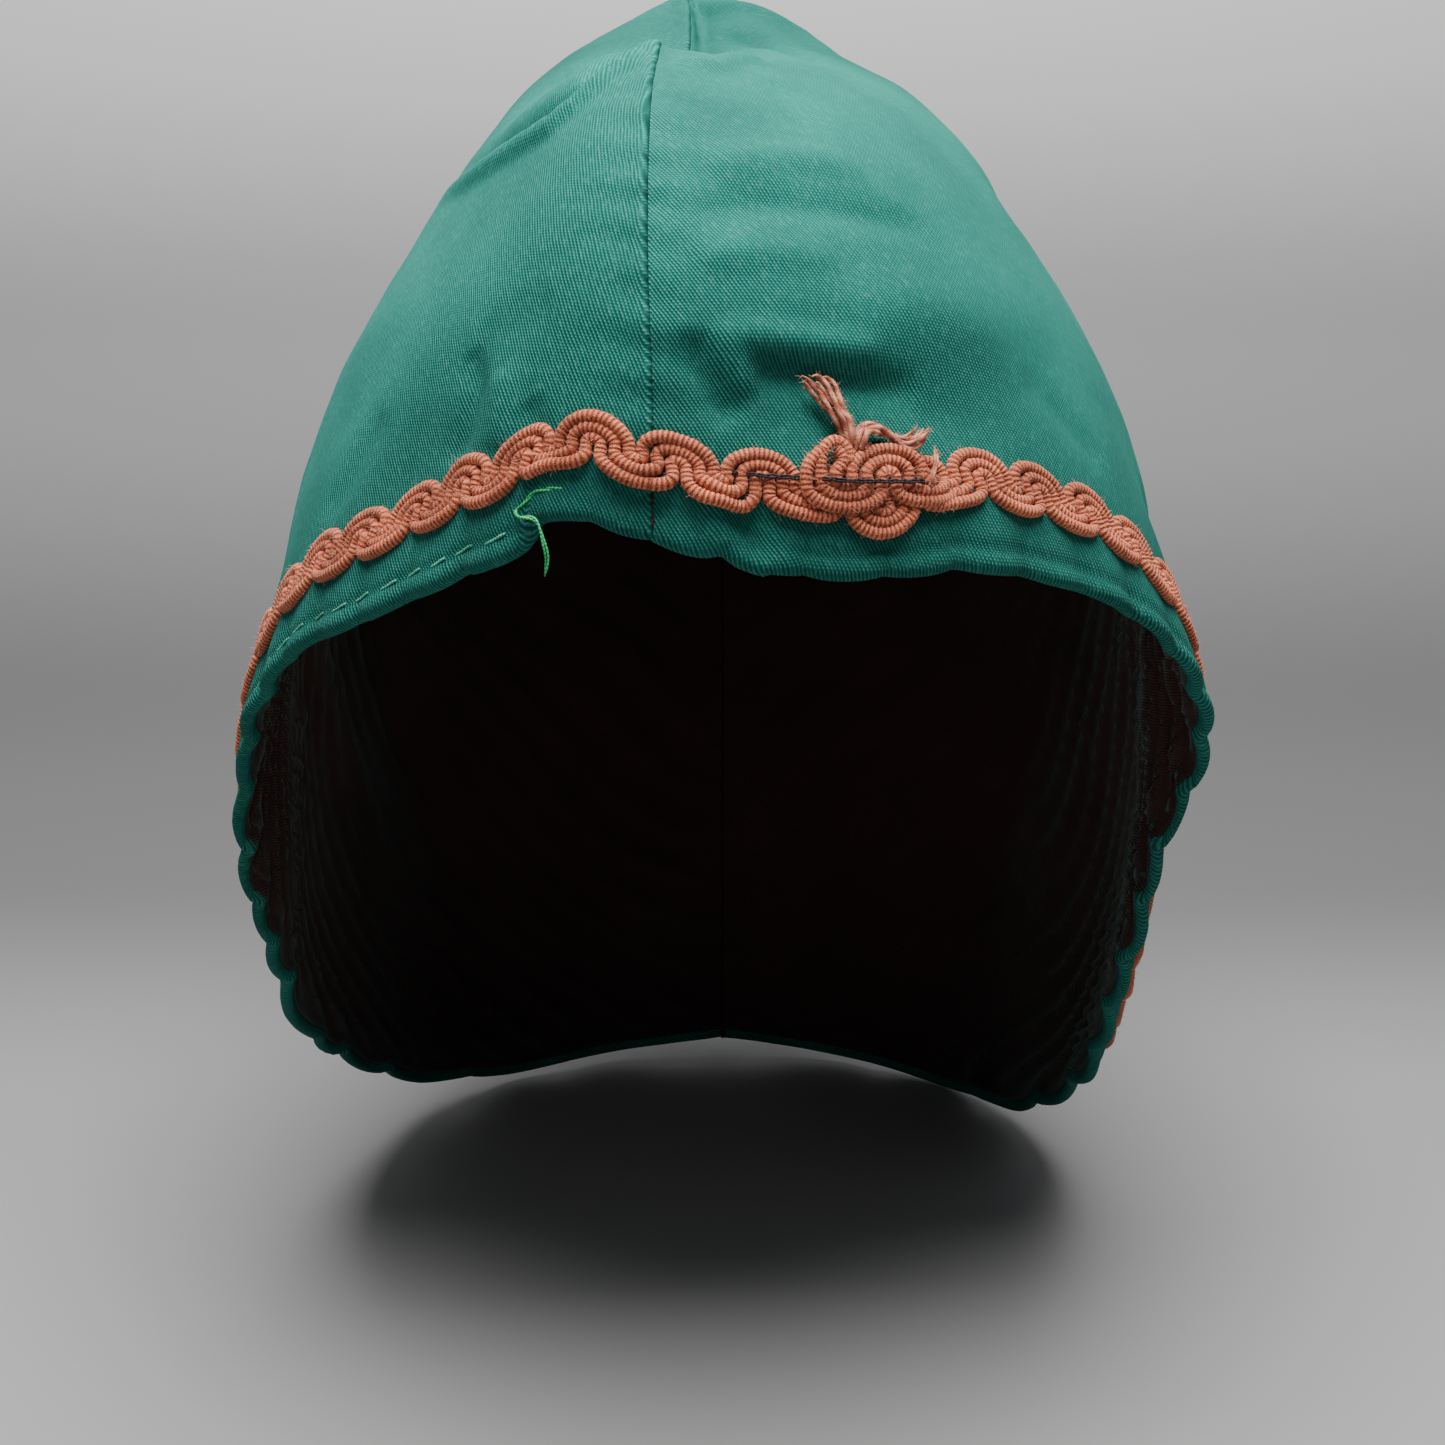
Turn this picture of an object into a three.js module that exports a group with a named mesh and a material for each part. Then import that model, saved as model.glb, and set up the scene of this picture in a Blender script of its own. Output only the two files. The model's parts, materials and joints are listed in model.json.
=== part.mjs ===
// Pointed hood of green cotton twill with a brown lining and a scroll gimp braid sewn round its
// one opening. Millimetres, +Z up, the face looks along -Y, the wearer's left is +X. The origin
// is the place inside the hood where the top of the head comes.
import * as THREE from 'three';

// Driving sizes of the cloth form
const HOOD_WIDTH = 188; // across the two panels, level with the temples
const HOOD_DEPTH = 224; // from the front hem to the back of the head
const HOOD_HEIGHT = 278; // from the nape to the tip

// Cloth layers and seams
const TWILL = 1.2; // thickness of an outer panel
const LINING = 1.0; // thickness of a lining panel
const LAYER_GAP = 0.7; // air between the twill and the lining
const LINING_SLACK = 0.9; // how far the lining hangs off the twill above the hem
const SEAM_GAP = 0.3; // between two panels that are sewn edge to edge
const HEM_TURN = 5; // width of twill that is turned in before the lining's edge
const HEM_ROUNDING = 0.3; // share of the wall that the hem's edge is rounded by
const LINING_EDGE_GAP = 0.7; // from the turned twill to the lining's edge

// Gimp braid and its frayed ends
const BRAID_FROM_HEM = 16.5; // from the hem to the middle of the braid
const BRAID_WIDTH = 13.4; // over the scallops
const BRAID_NOTCH = 4.2; // depth of the notch between two scallops
const BRAID_PITCH = 14; // from one scallop to the next
const BRAID_THICK = 2.1;
const BRAID_SHOULDER = 0.8; // share of the half width where the rounded edge reaches full height
const BRAID_SEAT = 0.6; // stand-off of stitched trim from the faceted cloth
const LAP_FROM_SEAM = 25.5; // from the front seam to the under end of the braid
const LAP_LENGTH = 23; // the two ends lie over each other for this length
const LAP_RAMP = 8; // length in which the upper end climbs onto the under end
const FRAY_WIDTH = 4.4;
const FRAY_THICK = 1.8;
const FRAY_TAPER = 0.55; // share of its thickness that a frayed end loses
const FRAY_UP_LENGTH = 11.5; // the unravelled yarn that stands up
const FRAY_UP_LEAN = 5; // how far its end leans back to the seam
const FRAY_SIDE_LENGTH = 13; // the unravelled yarn that lies along the braid

// Mesh density
const PANEL_COLUMNS = 26; // strips round each panel
const PANEL_ROWS = 17; // rings of the twill between the braid and the tip
const LINING_ROWS = 15; // rings of the lining, which ends below the twill's tip
const SCALLOP_STEPS = 6; // braid sections in each scallop
const FRAY_STEPS = 4; // sections of a frayed end
const FRAY_SIDES = 6;
const FINE_STEPS = 90; // samples used to measure a length along the cloth
const BODY_STEP = 0.002; // share of a turn or rise over which the way that the body faces is read
const NORMAL_STEP = 0.02; // share of a strip over which the way that the cloth faces is read

// Body of the hood, a row for each level from the nape to the tip. y and z are shares of the
// hood's depth and height, x of half its width. Crease draws the loop to a ridge at the seams.
const bodyLevels = [
  {
    frontY: -0.268, frontZ: -0.9, sideX: 0.81, sideY: 0.09, sideZ: -0.881,
    backY: 0.375, backZ: -0.892, midX: 0, seamX: -0.04, crease: 0,
  },
  {
    frontY: -0.393, frontZ: -0.773, sideX: 0.936, sideY: 0.036, sideZ: -0.763,
    backY: 0.375, backZ: -0.77, midX: 0, seamX: -0.06, crease: 0,
  },
  {
    frontY: -0.46, frontZ: -0.64, sideX: 0.989, sideY: -0.009, sideZ: -0.64,
    backY: 0.393, backZ: -0.633, midX: 0, seamX: -0.085, crease: 0,
  },
  {
    frontY: -0.491, frontZ: -0.511, sideX: 1, sideY: -0.036, sideZ: -0.511,
    backY: 0.433, backZ: -0.496, midX: 0, seamX: -0.106, crease: 0,
  },
  {
    frontY: -0.509, frontZ: -0.388, sideX: 0.989, sideY: -0.045, sideZ: -0.388,
    backY: 0.473, backZ: -0.36, midX: 0, seamX: -0.128, crease: 0,
  },
  {
    frontY: -0.509, frontZ: -0.266, sideX: 0.947, sideY: -0.022, sideZ: -0.281,
    backY: 0.491, backZ: -0.23, midX: 0, seamX: -0.128, crease: 0.05,
  },
  {
    frontY: -0.491, frontZ: -0.158, sideX: 0.851, sideY: 0.009, sideZ: -0.187,
    backY: 0.491, backZ: -0.129, midX: 0, seamX: -0.128, crease: 0.1,
  },
  {
    frontY: -0.451, frontZ: -0.065, sideX: 0.745, sideY: 0.054, sideZ: -0.119,
    backY: 0.478, backZ: -0.043, midX: 0, seamX: -0.138, crease: 0.2,
  },
  {
    frontY: -0.375, frontZ: 0.011, sideX: 0.617, sideY: 0.107, sideZ: -0.05,
    backY: 0.46, backZ: 0.011, midX: 0, seamX: -0.138, crease: 0.3,
  },
  {
    frontY: -0.259, frontZ: 0.047, sideX: 0.489, sideY: 0.161, sideZ: 0.007,
    backY: 0.442, backZ: 0.04, midX: -0.011, seamX: -0.128, crease: 0.4,
  },
  {
    frontY: -0.125, frontZ: 0.054, sideX: 0.362, sideY: 0.214, sideZ: 0.04,
    backY: 0.424, backZ: 0.061, midX: -0.032, seamX: -0.106, crease: 0.55,
  },
  {
    frontY: 0.08, frontZ: 0.061, sideX: 0.213, sideY: 0.268, sideZ: 0.067,
    backY: 0.402, backZ: 0.083, midX: -0.064, seamX: -0.085, crease: 0.75,
  },
  {
    frontY: 0.357, frontZ: 0.101, sideX: 0, sideY: 0.357, sideZ: 0.101,
    backY: 0.357, backZ: 0.101, midX: -0.096, seamX: -0.096, crease: 1,
  },
];

// Hem of each panel, a row for each place from the front seam to the nape seam. Turn is the share
// of the way round to the back and rise the share of the way up the body levels. Flare is how far
// the edge stands off the body, as a share of half the hood's width.
const rightPanelHem = [
  { turn: 0, rise: 0.442, flare: 0.008 },
  { turn: 0.055, rise: 0.447, flare: 0.016 },
  { turn: 0.11, rise: 0.431, flare: 0.016 },
  { turn: 0.17, rise: 0.414, flare: 0.03 },
  { turn: 0.23, rise: 0.393, flare: 0.066 },
  { turn: 0.29, rise: 0.369, flare: 0.086 },
  { turn: 0.34, rise: 0.328, flare: 0.104 },
  { turn: 0.369, rise: 0.286, flare: 0.112 },
  { turn: 0.384, rise: 0.243, flare: 0.108 },
  { turn: 0.395, rise: 0.2, flare: 0.074 },
  { turn: 0.421, rise: 0.163, flare: 0.05 },
  { turn: 0.465, rise: 0.116, flare: 0.038 },
  { turn: 0.54, rise: 0.066, flare: 0.01 },
  { turn: 0.64, rise: 0.03, flare: 0.016 },
  { turn: 0.76, rise: 0.012, flare: 0.022 },
  { turn: 0.88, rise: 0.016, flare: 0.01 },
  { turn: 1, rise: 0.022, flare: 0.012 },
];
const leftPanelHem = [
  { turn: 0, rise: 0.442, flare: 0.008 },
  { turn: 0.05, rise: 0.431, flare: 0.022 },
  { turn: 0.105, rise: 0.423, flare: 0.036 },
  { turn: 0.165, rise: 0.424, flare: 0.042 },
  { turn: 0.225, rise: 0.411, flare: 0.058 },
  { turn: 0.28, rise: 0.388, flare: 0.088 },
  { turn: 0.33, rise: 0.348, flare: 0.13 },
  { turn: 0.363, rise: 0.305, flare: 0.112 },
  { turn: 0.371, rise: 0.26, flare: 0.04 },
  { turn: 0.38, rise: 0.218, flare: 0 },
  { turn: 0.395, rise: 0.172, flare: -0.038 },
  { turn: 0.427, rise: 0.122, flare: -0.052 },
  { turn: 0.48, rise: 0.066, flare: -0.042 },
  { turn: 0.585, rise: 0.02, flare: -0.016 },
  { turn: 0.72, rise: 0.006, flare: 0.016 },
  { turn: 0.86, rise: 0.012, flare: 0.018 },
  { turn: 1, rise: 0.022, flare: 0.012 },
];
const FLARE_REACH = 0.28; // share of a strip's climb over which the flare dies out
const SEAM_PULL_REACH = 0.16; // share of a turn over which the front seam is worn off centre
const SEAM_REACH = 0.1; // share of a turn over which folds swing from the seam to their panel
const MEASURED_CLIMB = 0.4; // share of a strip in which lengths from the hem are measured
const TOP_CLIMB = 0.95; // climb of the last ring below the tip

// Dents and folds of the cloth. Side is -1 on the wearer's right panel and 1 on the left one.
// Turn and rise place the middle, along and across are half lengths in the same shares, tilt
// leans the fold in degrees and height is its depth as a share of the hood's height.
const folds = [
  {
    name: 'crest',
    side: -1, turn: 0.1, rise: 0.775, along: 0.22, across: 0.035, tilt: -20, height: 0.007,
  },
  {
    name: 'valley behind the crest',
    side: -1, turn: 0.08, rise: 0.86, along: 0.26, across: 0.05, tilt: -20, height: -0.026,
  },
  {
    name: 'valley on the other panel',
    side: 1, turn: 0, rise: 0.86, along: 0.1, across: 0.05, tilt: 0, height: -0.026,
  },
  {
    name: 'roll beside the tip',
    side: 1, turn: 0.4, rise: 0.95, along: 0.28, across: 0.05, tilt: 0, height: 0.011,
  },
  {
    name: 'hollow over the braid',
    side: 1, turn: 0.13, rise: 0.5, along: 0.09, across: 0.025, tilt: 0, height: -0.009,
  },
  {
    name: 'roll over the hollow',
    side: 1, turn: 0.17, rise: 0.555, along: 0.12, across: 0.025, tilt: 4, height: 0.007,
  },
  {
    name: 'hollow by the temple',
    side: -1, turn: 0.2, rise: 0.47, along: 0.04, across: 0.06, tilt: 30, height: -0.007,
  },
  {
    name: 'drape at the nape',
    side: -1, turn: 0.7, rise: 0.16, along: 0.08, across: 0.12, tilt: 0, height: 0.01,
  },
  {
    name: 'drape at the nape',
    side: 1, turn: 0.76, rise: 0.16, along: 0.08, across: 0.12, tilt: 0, height: 0.01,
  },
];

const halfWidth = HOOD_WIDTH / 2;
const wallThick = TWILL + LAYER_GAP + LINING;

// Smooth curve through the rows of a table, read at a share of the way down it
function readTable(rows, share) {
  const place = THREE.MathUtils.clamp(share, 0, 1) * (rows.length - 1);
  const first = Math.min(Math.floor(place), rows.length - 2);
  const part = place - first;
  const reading = {};
  for (const column of Object.keys(rows[first])) {
    const before = rows[first][column];
    const after = rows[first + 1][column];
    const earlier = first > 0 ? rows[first - 1][column] : 2 * before - after;
    const later = first < rows.length - 2 ? rows[first + 2][column] : 2 * after - before;
    const slope = (after - earlier) / 2;
    const nextSlope = (later - before) / 2;
    const square = part * part;
    const cube = square * part;
    reading[column] =
      before * (2 * cube - 3 * square + 1) +
      slope * (cube - 2 * square + part) +
      after * (3 * square - 2 * cube) +
      nextSlope * (cube - square);
  }
  return reading;
}

// Point of the smooth body, before its folds
function bodyPoint(side, turn, rise) {
  const level = readTable(bodyLevels, rise);
  const angle = turn * Math.PI;
  const inFront = turn < 0.5;
  const round = Math.abs(Math.cos(angle));
  const straight = Math.abs(1 - 2 * turn);
  const reach = THREE.MathUtils.lerp(round, straight, level.crease);
  const endY = inFront ? level.frontY : level.backY;
  const endZ = inFront ? level.frontZ : level.backZ;
  const seamPull = Math.exp(-((turn / SEAM_PULL_REACH) ** 2));
  const midX = level.midX + (level.seamX - level.midX) * seamPull;
  return new THREE.Vector3(
    halfWidth * (side * level.sideX * Math.sin(angle) + midX),
    HOOD_DEPTH * (level.sideY + (endY - level.sideY) * reach),
    HOOD_HEIGHT * (level.sideZ + (endZ - level.sideZ) * reach * reach),
  );
}

// Height of all the folds at one place of a panel
function foldHeight(side, turn, rise) {
  let height = 0;
  for (const fold of folds) {
    const onPanel = fold.side === side;
    const turnAway = onPanel ? turn - fold.turn : -turn - fold.turn;
    const lean = THREE.MathUtils.degToRad(fold.tilt);
    const riseAway = rise - fold.rise;
    const along = (turnAway * Math.cos(lean) + riseAway * Math.sin(lean)) / fold.along;
    const across = (riseAway * Math.cos(lean) - turnAway * Math.sin(lean)) / fold.across;
    height += fold.height * Math.exp(-along * along - across * across);
  }
  return height * HOOD_HEIGHT;
}

// Point of the body with a height standing on it
function raisedPoint(side, turn, rise, height) {
  const low = Math.max(turn - BODY_STEP, 0);
  const high = Math.min(turn + BODY_STEP, 1);
  const round = bodyPoint(side, high, rise).sub(bodyPoint(side, low, rise));
  const up = bodyPoint(side, turn, Math.min(rise + BODY_STEP, 1));
  up.sub(bodyPoint(side, turn, rise - BODY_STEP));
  const outward = round.cross(up).multiplyScalar(side).normalize();
  outward.x *= Math.min(1, Math.min(turn, 1 - turn) / SEAM_REACH);
  return bodyPoint(side, turn, rise).addScaledVector(outward, height);
}

// Point of a panel's outer face. Strip runs from the front seam to the nape seam, climb from the
// hem to the tip, both 0 to 1.
function clothPoint(side, strip, climb) {
  const hem = readTable(side < 0 ? rightPanelHem : leftPanelHem, strip);
  const turn = THREE.MathUtils.lerp(hem.turn, strip, climb);
  const rise = THREE.MathUtils.lerp(hem.rise, 1, climb);
  const fade = Math.max(0, 1 - climb / FLARE_REACH) ** 2;
  const height = hem.flare * halfWidth * fade + foldHeight(side, turn, rise);
  return raisedPoint(side, turn, rise, height);
}

// Outward direction of one panel's face
function faceNormal(side, strip, climb) {
  const round = clothPoint(side, Math.min(strip + NORMAL_STEP, 1), climb);
  round.sub(clothPoint(side, Math.max(strip - NORMAL_STEP, 0), climb));
  const up = clothPoint(side, strip, climb + NORMAL_STEP);
  up.sub(clothPoint(side, strip, Math.max(climb - NORMAL_STEP, 0)));
  return round.cross(up).multiplyScalar(side).normalize();
}

// Outward direction of the cloth, longer on a seam's ridge so that the wall keeps its thickness
function clothNormal(side, strip, climb) {
  const own = faceNormal(side, strip, climb);
  if (strip > 0 && strip < 1) {
    return own;
  }
  const middle = faceNormal(-side, strip, climb).add(own).normalize();
  return middle.divideScalar(middle.dot(own));
}

// Climb of the point that lies a given length from the hem, measured up one strip
const stripLengths = new Map();
function climbAt(side, strip, fromHem) {
  const key = `${side} ${strip.toFixed(6)}`;
  if (!stripLengths.has(key)) {
    const lengths = [0];
    for (let count = 1; count <= FINE_STEPS; count += 1) {
      const here = clothPoint(side, strip, (count / FINE_STEPS) * MEASURED_CLIMB);
      const before = clothPoint(side, strip, ((count - 1) / FINE_STEPS) * MEASURED_CLIMB);
      lengths.push(lengths[count - 1] + here.distanceTo(before));
    }
    stripLengths.set(key, lengths);
  }
  const lengths = stripLengths.get(key);
  const after = Math.max(lengths.findIndex((length) => length > fromHem), 1);
  const part = (fromHem - lengths[after - 1]) / (lengths[after] - lengths[after - 1]);
  return ((after - 1 + part) / FINE_STEPS) * MEASURED_CLIMB;
}

// Triangles over one end profile, wound the way the profile runs
function capOf(profile) {
  const normal = new THREE.Vector3();
  profile.forEach((point, corner) => {
    normal.add(point.clone().cross(profile[(corner + 1) % profile.length]));
  });
  normal.normalize();
  const across = profile[1].clone().sub(profile[0]).normalize();
  const along = normal.clone().cross(across);
  const flat = profile.map((point) => new THREE.Vector2(point.dot(across), point.dot(along)));
  return THREE.ShapeUtils.triangulateShape(flat, []);
}

// Closed mesh skinned over a row of profiles that all have the same number of corners. Corners
// that meet in one point, as at the tip, are merged.
function skinProfiles(profiles) {
  const corners = [];
  const numbers = new Map();
  const cornerOf = (point) => {
    const key = point.toArray().map((value) => value.toFixed(5)).join(' ');
    if (!numbers.has(key)) {
      numbers.set(key, corners.length);
      corners.push(point);
    }
    return numbers.get(key);
  };
  const rows = profiles.map((profile) => profile.map(cornerOf));
  const triangles = [];
  const addTriangle = (first, second, third) => {
    if (first !== second && second !== third && third !== first) {
      triangles.push([first, second, third]);
    }
  };
  for (let row = 0; row + 1 < rows.length; row += 1) {
    const size = rows[row].length;
    for (let corner = 0; corner < size; corner += 1) {
      const next = (corner + 1) % size;
      addTriangle(rows[row][corner], rows[row + 1][corner], rows[row + 1][next]);
      addTriangle(rows[row][corner], rows[row + 1][next], rows[row][next]);
    }
  }
  const firstRow = rows[0];
  for (const [first, second, third] of capOf(profiles[0])) {
    addTriangle(firstRow[first], firstRow[second], firstRow[third]);
  }
  const lastRow = rows[rows.length - 1];
  for (const [first, second, third] of capOf(profiles[profiles.length - 1])) {
    addTriangle(lastRow[first], lastRow[third], lastRow[second]);
  }
  const volume = triangles.reduce((sum, [first, second, third]) => {
    const crossed = corners[second].clone().cross(corners[third]);
    return sum + corners[first].dot(crossed);
  }, 0);
  const indices = triangles.flatMap((triangle) => (volume < 0 ? triangle.toReversed() : triangle));
  const geometry = new THREE.BufferGeometry().setFromPoints(corners);
  geometry.setIndex(indices);
  return geometry;
}

// Rings of one panel's profile, from the hem up the outer face, over the tip and down the inner
// face. A ring is placed by its length from the hem or by its climb, and by its depth in the wall.
function facingRings(depth, firstFromHem, rows) {
  const rings = [
    { fromHem: firstFromHem, depth },
    { fromHem: BRAID_FROM_HEM, depth },
  ];
  for (let count = 1; count <= rows; count += 1) {
    rings.push({ share: count / PANEL_ROWS, depth });
  }
  return rings;
}

function slackRings(depth, firstFromHem) {
  const rings = facingRings(depth, firstFromHem, LINING_ROWS);
  return rings.map((ring, row) => (row === 0 ? ring : { ...ring, depth: depth + LINING_SLACK }));
}

function twillRings() {
  const corner = wallThick * HEM_ROUNDING;
  const outer = [
    { fromHem: 0, depth: wallThick - corner },
    { fromHem: 0, depth: corner },
    { fromHem: corner, depth: 0 },
    ...facingRings(0, HEM_TURN, PANEL_ROWS),
  ];
  const inner = [
    ...facingRings(TWILL, HEM_TURN, PANEL_ROWS).reverse(),
    { fromHem: HEM_TURN, depth: wallThick },
    { fromHem: corner, depth: wallThick },
  ];
  return [...outer, { pole: true, depth: 0 }, { pole: true, depth: TWILL }, ...inner];
}

function liningRings() {
  const start = HEM_TURN + LINING_EDGE_GAP;
  const outside = TWILL + LAYER_GAP;
  return [
    ...slackRings(outside, start),
    { pole: true, depth: outside + LINING_SLACK },
    { pole: true, depth: wallThick + LINING_SLACK },
    ...slackRings(wallThick, start).reverse(),
  ];
}

// Middle of the normals round the tip, which says how far a layer's own tip lies below the outer one
function tipNormal() {
  const middle = new THREE.Vector3();
  for (const side of [-1, 1]) {
    for (let count = 0; count < PANEL_COLUMNS; count += 1) {
      middle.add(faceNormal(side, (count + 0.5) / PANEL_COLUMNS, TOP_CLIMB));
    }
  }
  return middle.divideScalar(2 * PANEL_COLUMNS);
}
const tipOutward = tipNormal();
const tip = clothPoint(1, 0, 1);

function ringPoint(side, strip, ring) {
  const seamShift = new THREE.Vector3((side * SEAM_GAP) / 2, 0, 0);
  if (ring.pole) {
    const drop = ring.depth / tipOutward.lengthSq();
    return tip.clone().addScaledVector(tipOutward, -drop).add(seamShift);
  }
  let climb = 0;
  if (ring.share !== undefined) {
    const fromBraid = climbAt(side, strip, BRAID_FROM_HEM);
    climb = THREE.MathUtils.lerp(fromBraid, TOP_CLIMB, ring.share);
  } else {
    climb = climbAt(side, strip, ring.fromHem);
  }
  const point = clothPoint(side, strip, climb);
  point.addScaledVector(clothNormal(side, strip, climb), -ring.depth);
  return point.add(seamShift);
}

function panelGeometry(side, rings) {
  const profiles = [];
  for (let column = 0; column <= PANEL_COLUMNS; column += 1) {
    profiles.push(rings.map((ring) => ringPoint(side, column / PANEL_COLUMNS, ring)));
  }
  return skinProfiles(profiles);
}

// Places round the hem, measured along the middle of the braid. Round runs from 0 at the front
// seam over the left panel to 1 at the nape, and over the right panel back to 2 at the seam.
function placeOf(round) {
  return round <= 1 ? { side: 1, strip: round } : { side: -1, strip: 2 - round };
}
const braidLengths = [0];
for (let count = 1; count <= 2 * FINE_STEPS; count += 1) {
  const [here, before] = [count, count - 1].map((step) => {
    const { side, strip } = placeOf(step / FINE_STEPS);
    return clothPoint(side, strip, climbAt(side, strip, BRAID_FROM_HEM));
  });
  braidLengths.push(braidLengths[count - 1] + here.distanceTo(before));
}
const hemLength = braidLengths[braidLengths.length - 1];

// Point over the cloth, by its length round the hem, its length up from the hem and its height
function sewnPoint(along, fromHem, height) {
  const length = ((along % hemLength) + hemLength) % hemLength;
  const after = Math.max(braidLengths.findIndex((entry) => entry > length), 1);
  const part = (length - braidLengths[after - 1]) / (braidLengths[after] - braidLengths[after - 1]);
  const { side, strip } = placeOf((after - 1 + part) / FINE_STEPS);
  const climb = climbAt(side, strip, fromHem);
  return clothPoint(side, strip, climb).addScaledVector(faceNormal(side, strip, climb), height);
}

// Gimp braid: one strip with round scallops on both edges, half a pitch apart. It runs once round
// the hem, and its upper end climbs onto its under end.
function braidGeometry() {
  const scallops = Math.round(hemLength / BRAID_PITCH);
  const pitch = hemLength / scallops;
  const laps = Math.round((LAP_LENGTH / pitch) * SCALLOP_STEPS);
  const climbEnd = hemLength - SEAM_GAP - pitch / SCALLOP_STEPS;
  const reachAt = (share) => {
    const fromMiddle = 2 * (share - Math.round(share));
    return BRAID_WIDTH / 2 - BRAID_NOTCH * (1 - Math.sqrt(1 - fromMiddle * fromMiddle));
  };
  const sections = [];
  for (let step = 0; step <= scallops * SCALLOP_STEPS + laps; step += 1) {
    const share = step / SCALLOP_STEPS;
    const run = share * pitch;
    const lifted = THREE.MathUtils.smoothstep(run, climbEnd - LAP_RAMP, climbEnd);
    const foot = BRAID_SEAT + lifted * (BRAID_THICK + SEAM_GAP);
    const up = reachAt(share);
    const down = reachAt(share + 0.5);
    const corners = [
      { across: -down, height: foot },
      { across: -down * BRAID_SHOULDER, height: foot + BRAID_THICK },
      { across: up * BRAID_SHOULDER, height: foot + BRAID_THICK },
      { across: up, height: foot },
      { across: 0, height: foot },
    ];
    const along = LAP_FROM_SEAM + run;
    sections.push(
      corners.map(({ across, height }) => sewnPoint(along, BRAID_FROM_HEM + across, height)),
    );
  }
  return skinProfiles(sections);
}

// Frayed end of the braid: a flat bundle of yarn that grows thinner to its free end
function frayGeometry(start, end) {
  const run = new THREE.Vector2().subVectors(end, start).normalize();
  const aside = new THREE.Vector2(-run.y, run.x);
  const sections = [];
  for (let step = 0; step <= FRAY_STEPS; step += 1) {
    const share = step / FRAY_STEPS;
    const taper = 1 - FRAY_TAPER * share;
    const middle = start.clone().lerp(end, share);
    const section = [];
    for (let corner = 0; corner < FRAY_SIDES; corner += 1) {
      const angle = ((corner + 0.5) / FRAY_SIDES) * 2 * Math.PI;
      const place = middle.clone().addScaledVector(aside, (FRAY_WIDTH / 2) * taper * Math.cos(angle));
      const height = BRAID_SEAT + (FRAY_THICK / 2) * taper * (1 + Math.sin(angle));
      section.push(sewnPoint(place.x, place.y, height));
    }
    sections.push(section);
  }
  return skinProfiles(sections);
}
const braidTop = BRAID_FROM_HEM + BRAID_WIDTH / 2 + SEAM_GAP;
const lapMiddle = LAP_FROM_SEAM + LAP_LENGTH / 2;
const uprightStart = new THREE.Vector2(lapMiddle - FRAY_WIDTH / 2, braidTop);
const uprightEnd = uprightStart.clone().add(new THREE.Vector2(-FRAY_UP_LEAN, FRAY_UP_LENGTH));
const lyingStart = new THREE.Vector2(lapMiddle + SEAM_GAP, braidTop + FRAY_WIDTH / 2);
const lyingEnd = lyingStart.clone().add(new THREE.Vector2(FRAY_SIDE_LENGTH, -FRAY_WIDTH / 4));

// Finishes of the pieces
const twillFinish = new THREE.MeshStandardMaterial({ color: 0x2f7d63, roughness: 0.9, metalness: 0 });
const liningFinish = new THREE.MeshStandardMaterial({ color: 0x2a1713, roughness: 0.95, metalness: 0 });
const gimpFinish = new THREE.MeshStandardMaterial({ color: 0xb4694b, roughness: 0.75, metalness: 0 });

const hood = new THREE.Group();

function addPiece(name, geometry, finish) {
  const piece = new THREE.Mesh(geometry, finish);
  piece.name = name;
  hood.add(piece);
}

// Panels of twill and of lining, sewn along the middle from the front hem over the tip to the nape
addPiece('outer_left', panelGeometry(1, twillRings()), twillFinish);
addPiece('outer_right', panelGeometry(-1, twillRings()), twillFinish);
addPiece('lining_left', panelGeometry(1, liningRings()), liningFinish);
addPiece('lining_right', panelGeometry(-1, liningRings()), liningFinish);

// Trim sewn on round the hem
addPiece('gimp_braid', braidGeometry(), gimpFinish);
addPiece('frayed_end_upright', frayGeometry(uprightStart, uprightEnd), gimpFinish);
addPiece('frayed_end_lying', frayGeometry(lyingStart, lyingEnd), gimpFinish);

export default hood;
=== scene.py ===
import json
import math
import random

import bmesh
import bpy
import numpy as np
from mathutils import Matrix, Vector, noise

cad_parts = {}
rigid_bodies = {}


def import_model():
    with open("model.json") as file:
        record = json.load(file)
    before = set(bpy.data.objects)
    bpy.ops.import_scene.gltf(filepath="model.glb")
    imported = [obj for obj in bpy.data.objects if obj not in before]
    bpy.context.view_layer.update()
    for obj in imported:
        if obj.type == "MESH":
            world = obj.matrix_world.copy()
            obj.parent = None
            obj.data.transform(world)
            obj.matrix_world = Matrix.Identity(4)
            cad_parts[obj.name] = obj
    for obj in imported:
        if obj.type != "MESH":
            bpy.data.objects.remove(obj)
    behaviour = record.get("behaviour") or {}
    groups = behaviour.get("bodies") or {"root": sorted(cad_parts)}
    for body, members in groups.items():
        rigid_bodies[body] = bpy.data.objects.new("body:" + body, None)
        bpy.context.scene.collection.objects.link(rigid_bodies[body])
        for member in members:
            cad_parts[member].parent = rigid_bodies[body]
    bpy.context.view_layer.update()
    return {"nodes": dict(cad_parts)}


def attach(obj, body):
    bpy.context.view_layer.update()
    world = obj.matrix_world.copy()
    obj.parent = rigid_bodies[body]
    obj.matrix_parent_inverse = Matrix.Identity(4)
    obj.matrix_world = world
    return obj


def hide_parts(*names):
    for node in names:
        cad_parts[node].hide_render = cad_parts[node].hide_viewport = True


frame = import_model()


# Camera, floor and light.
# The hood is seen from the front and from a little above, under broad soft light from overhead.
# Its floor and backdrop are one pale sheet of paper that sweeps up behind it, with painted shade on
# it.
MM = 0.001
IMAGE_WIDTH = 1445
FOCAL_LENGTH_IN_PIXELS = 2320
SENSOR_WIDTH = 36.0
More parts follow.
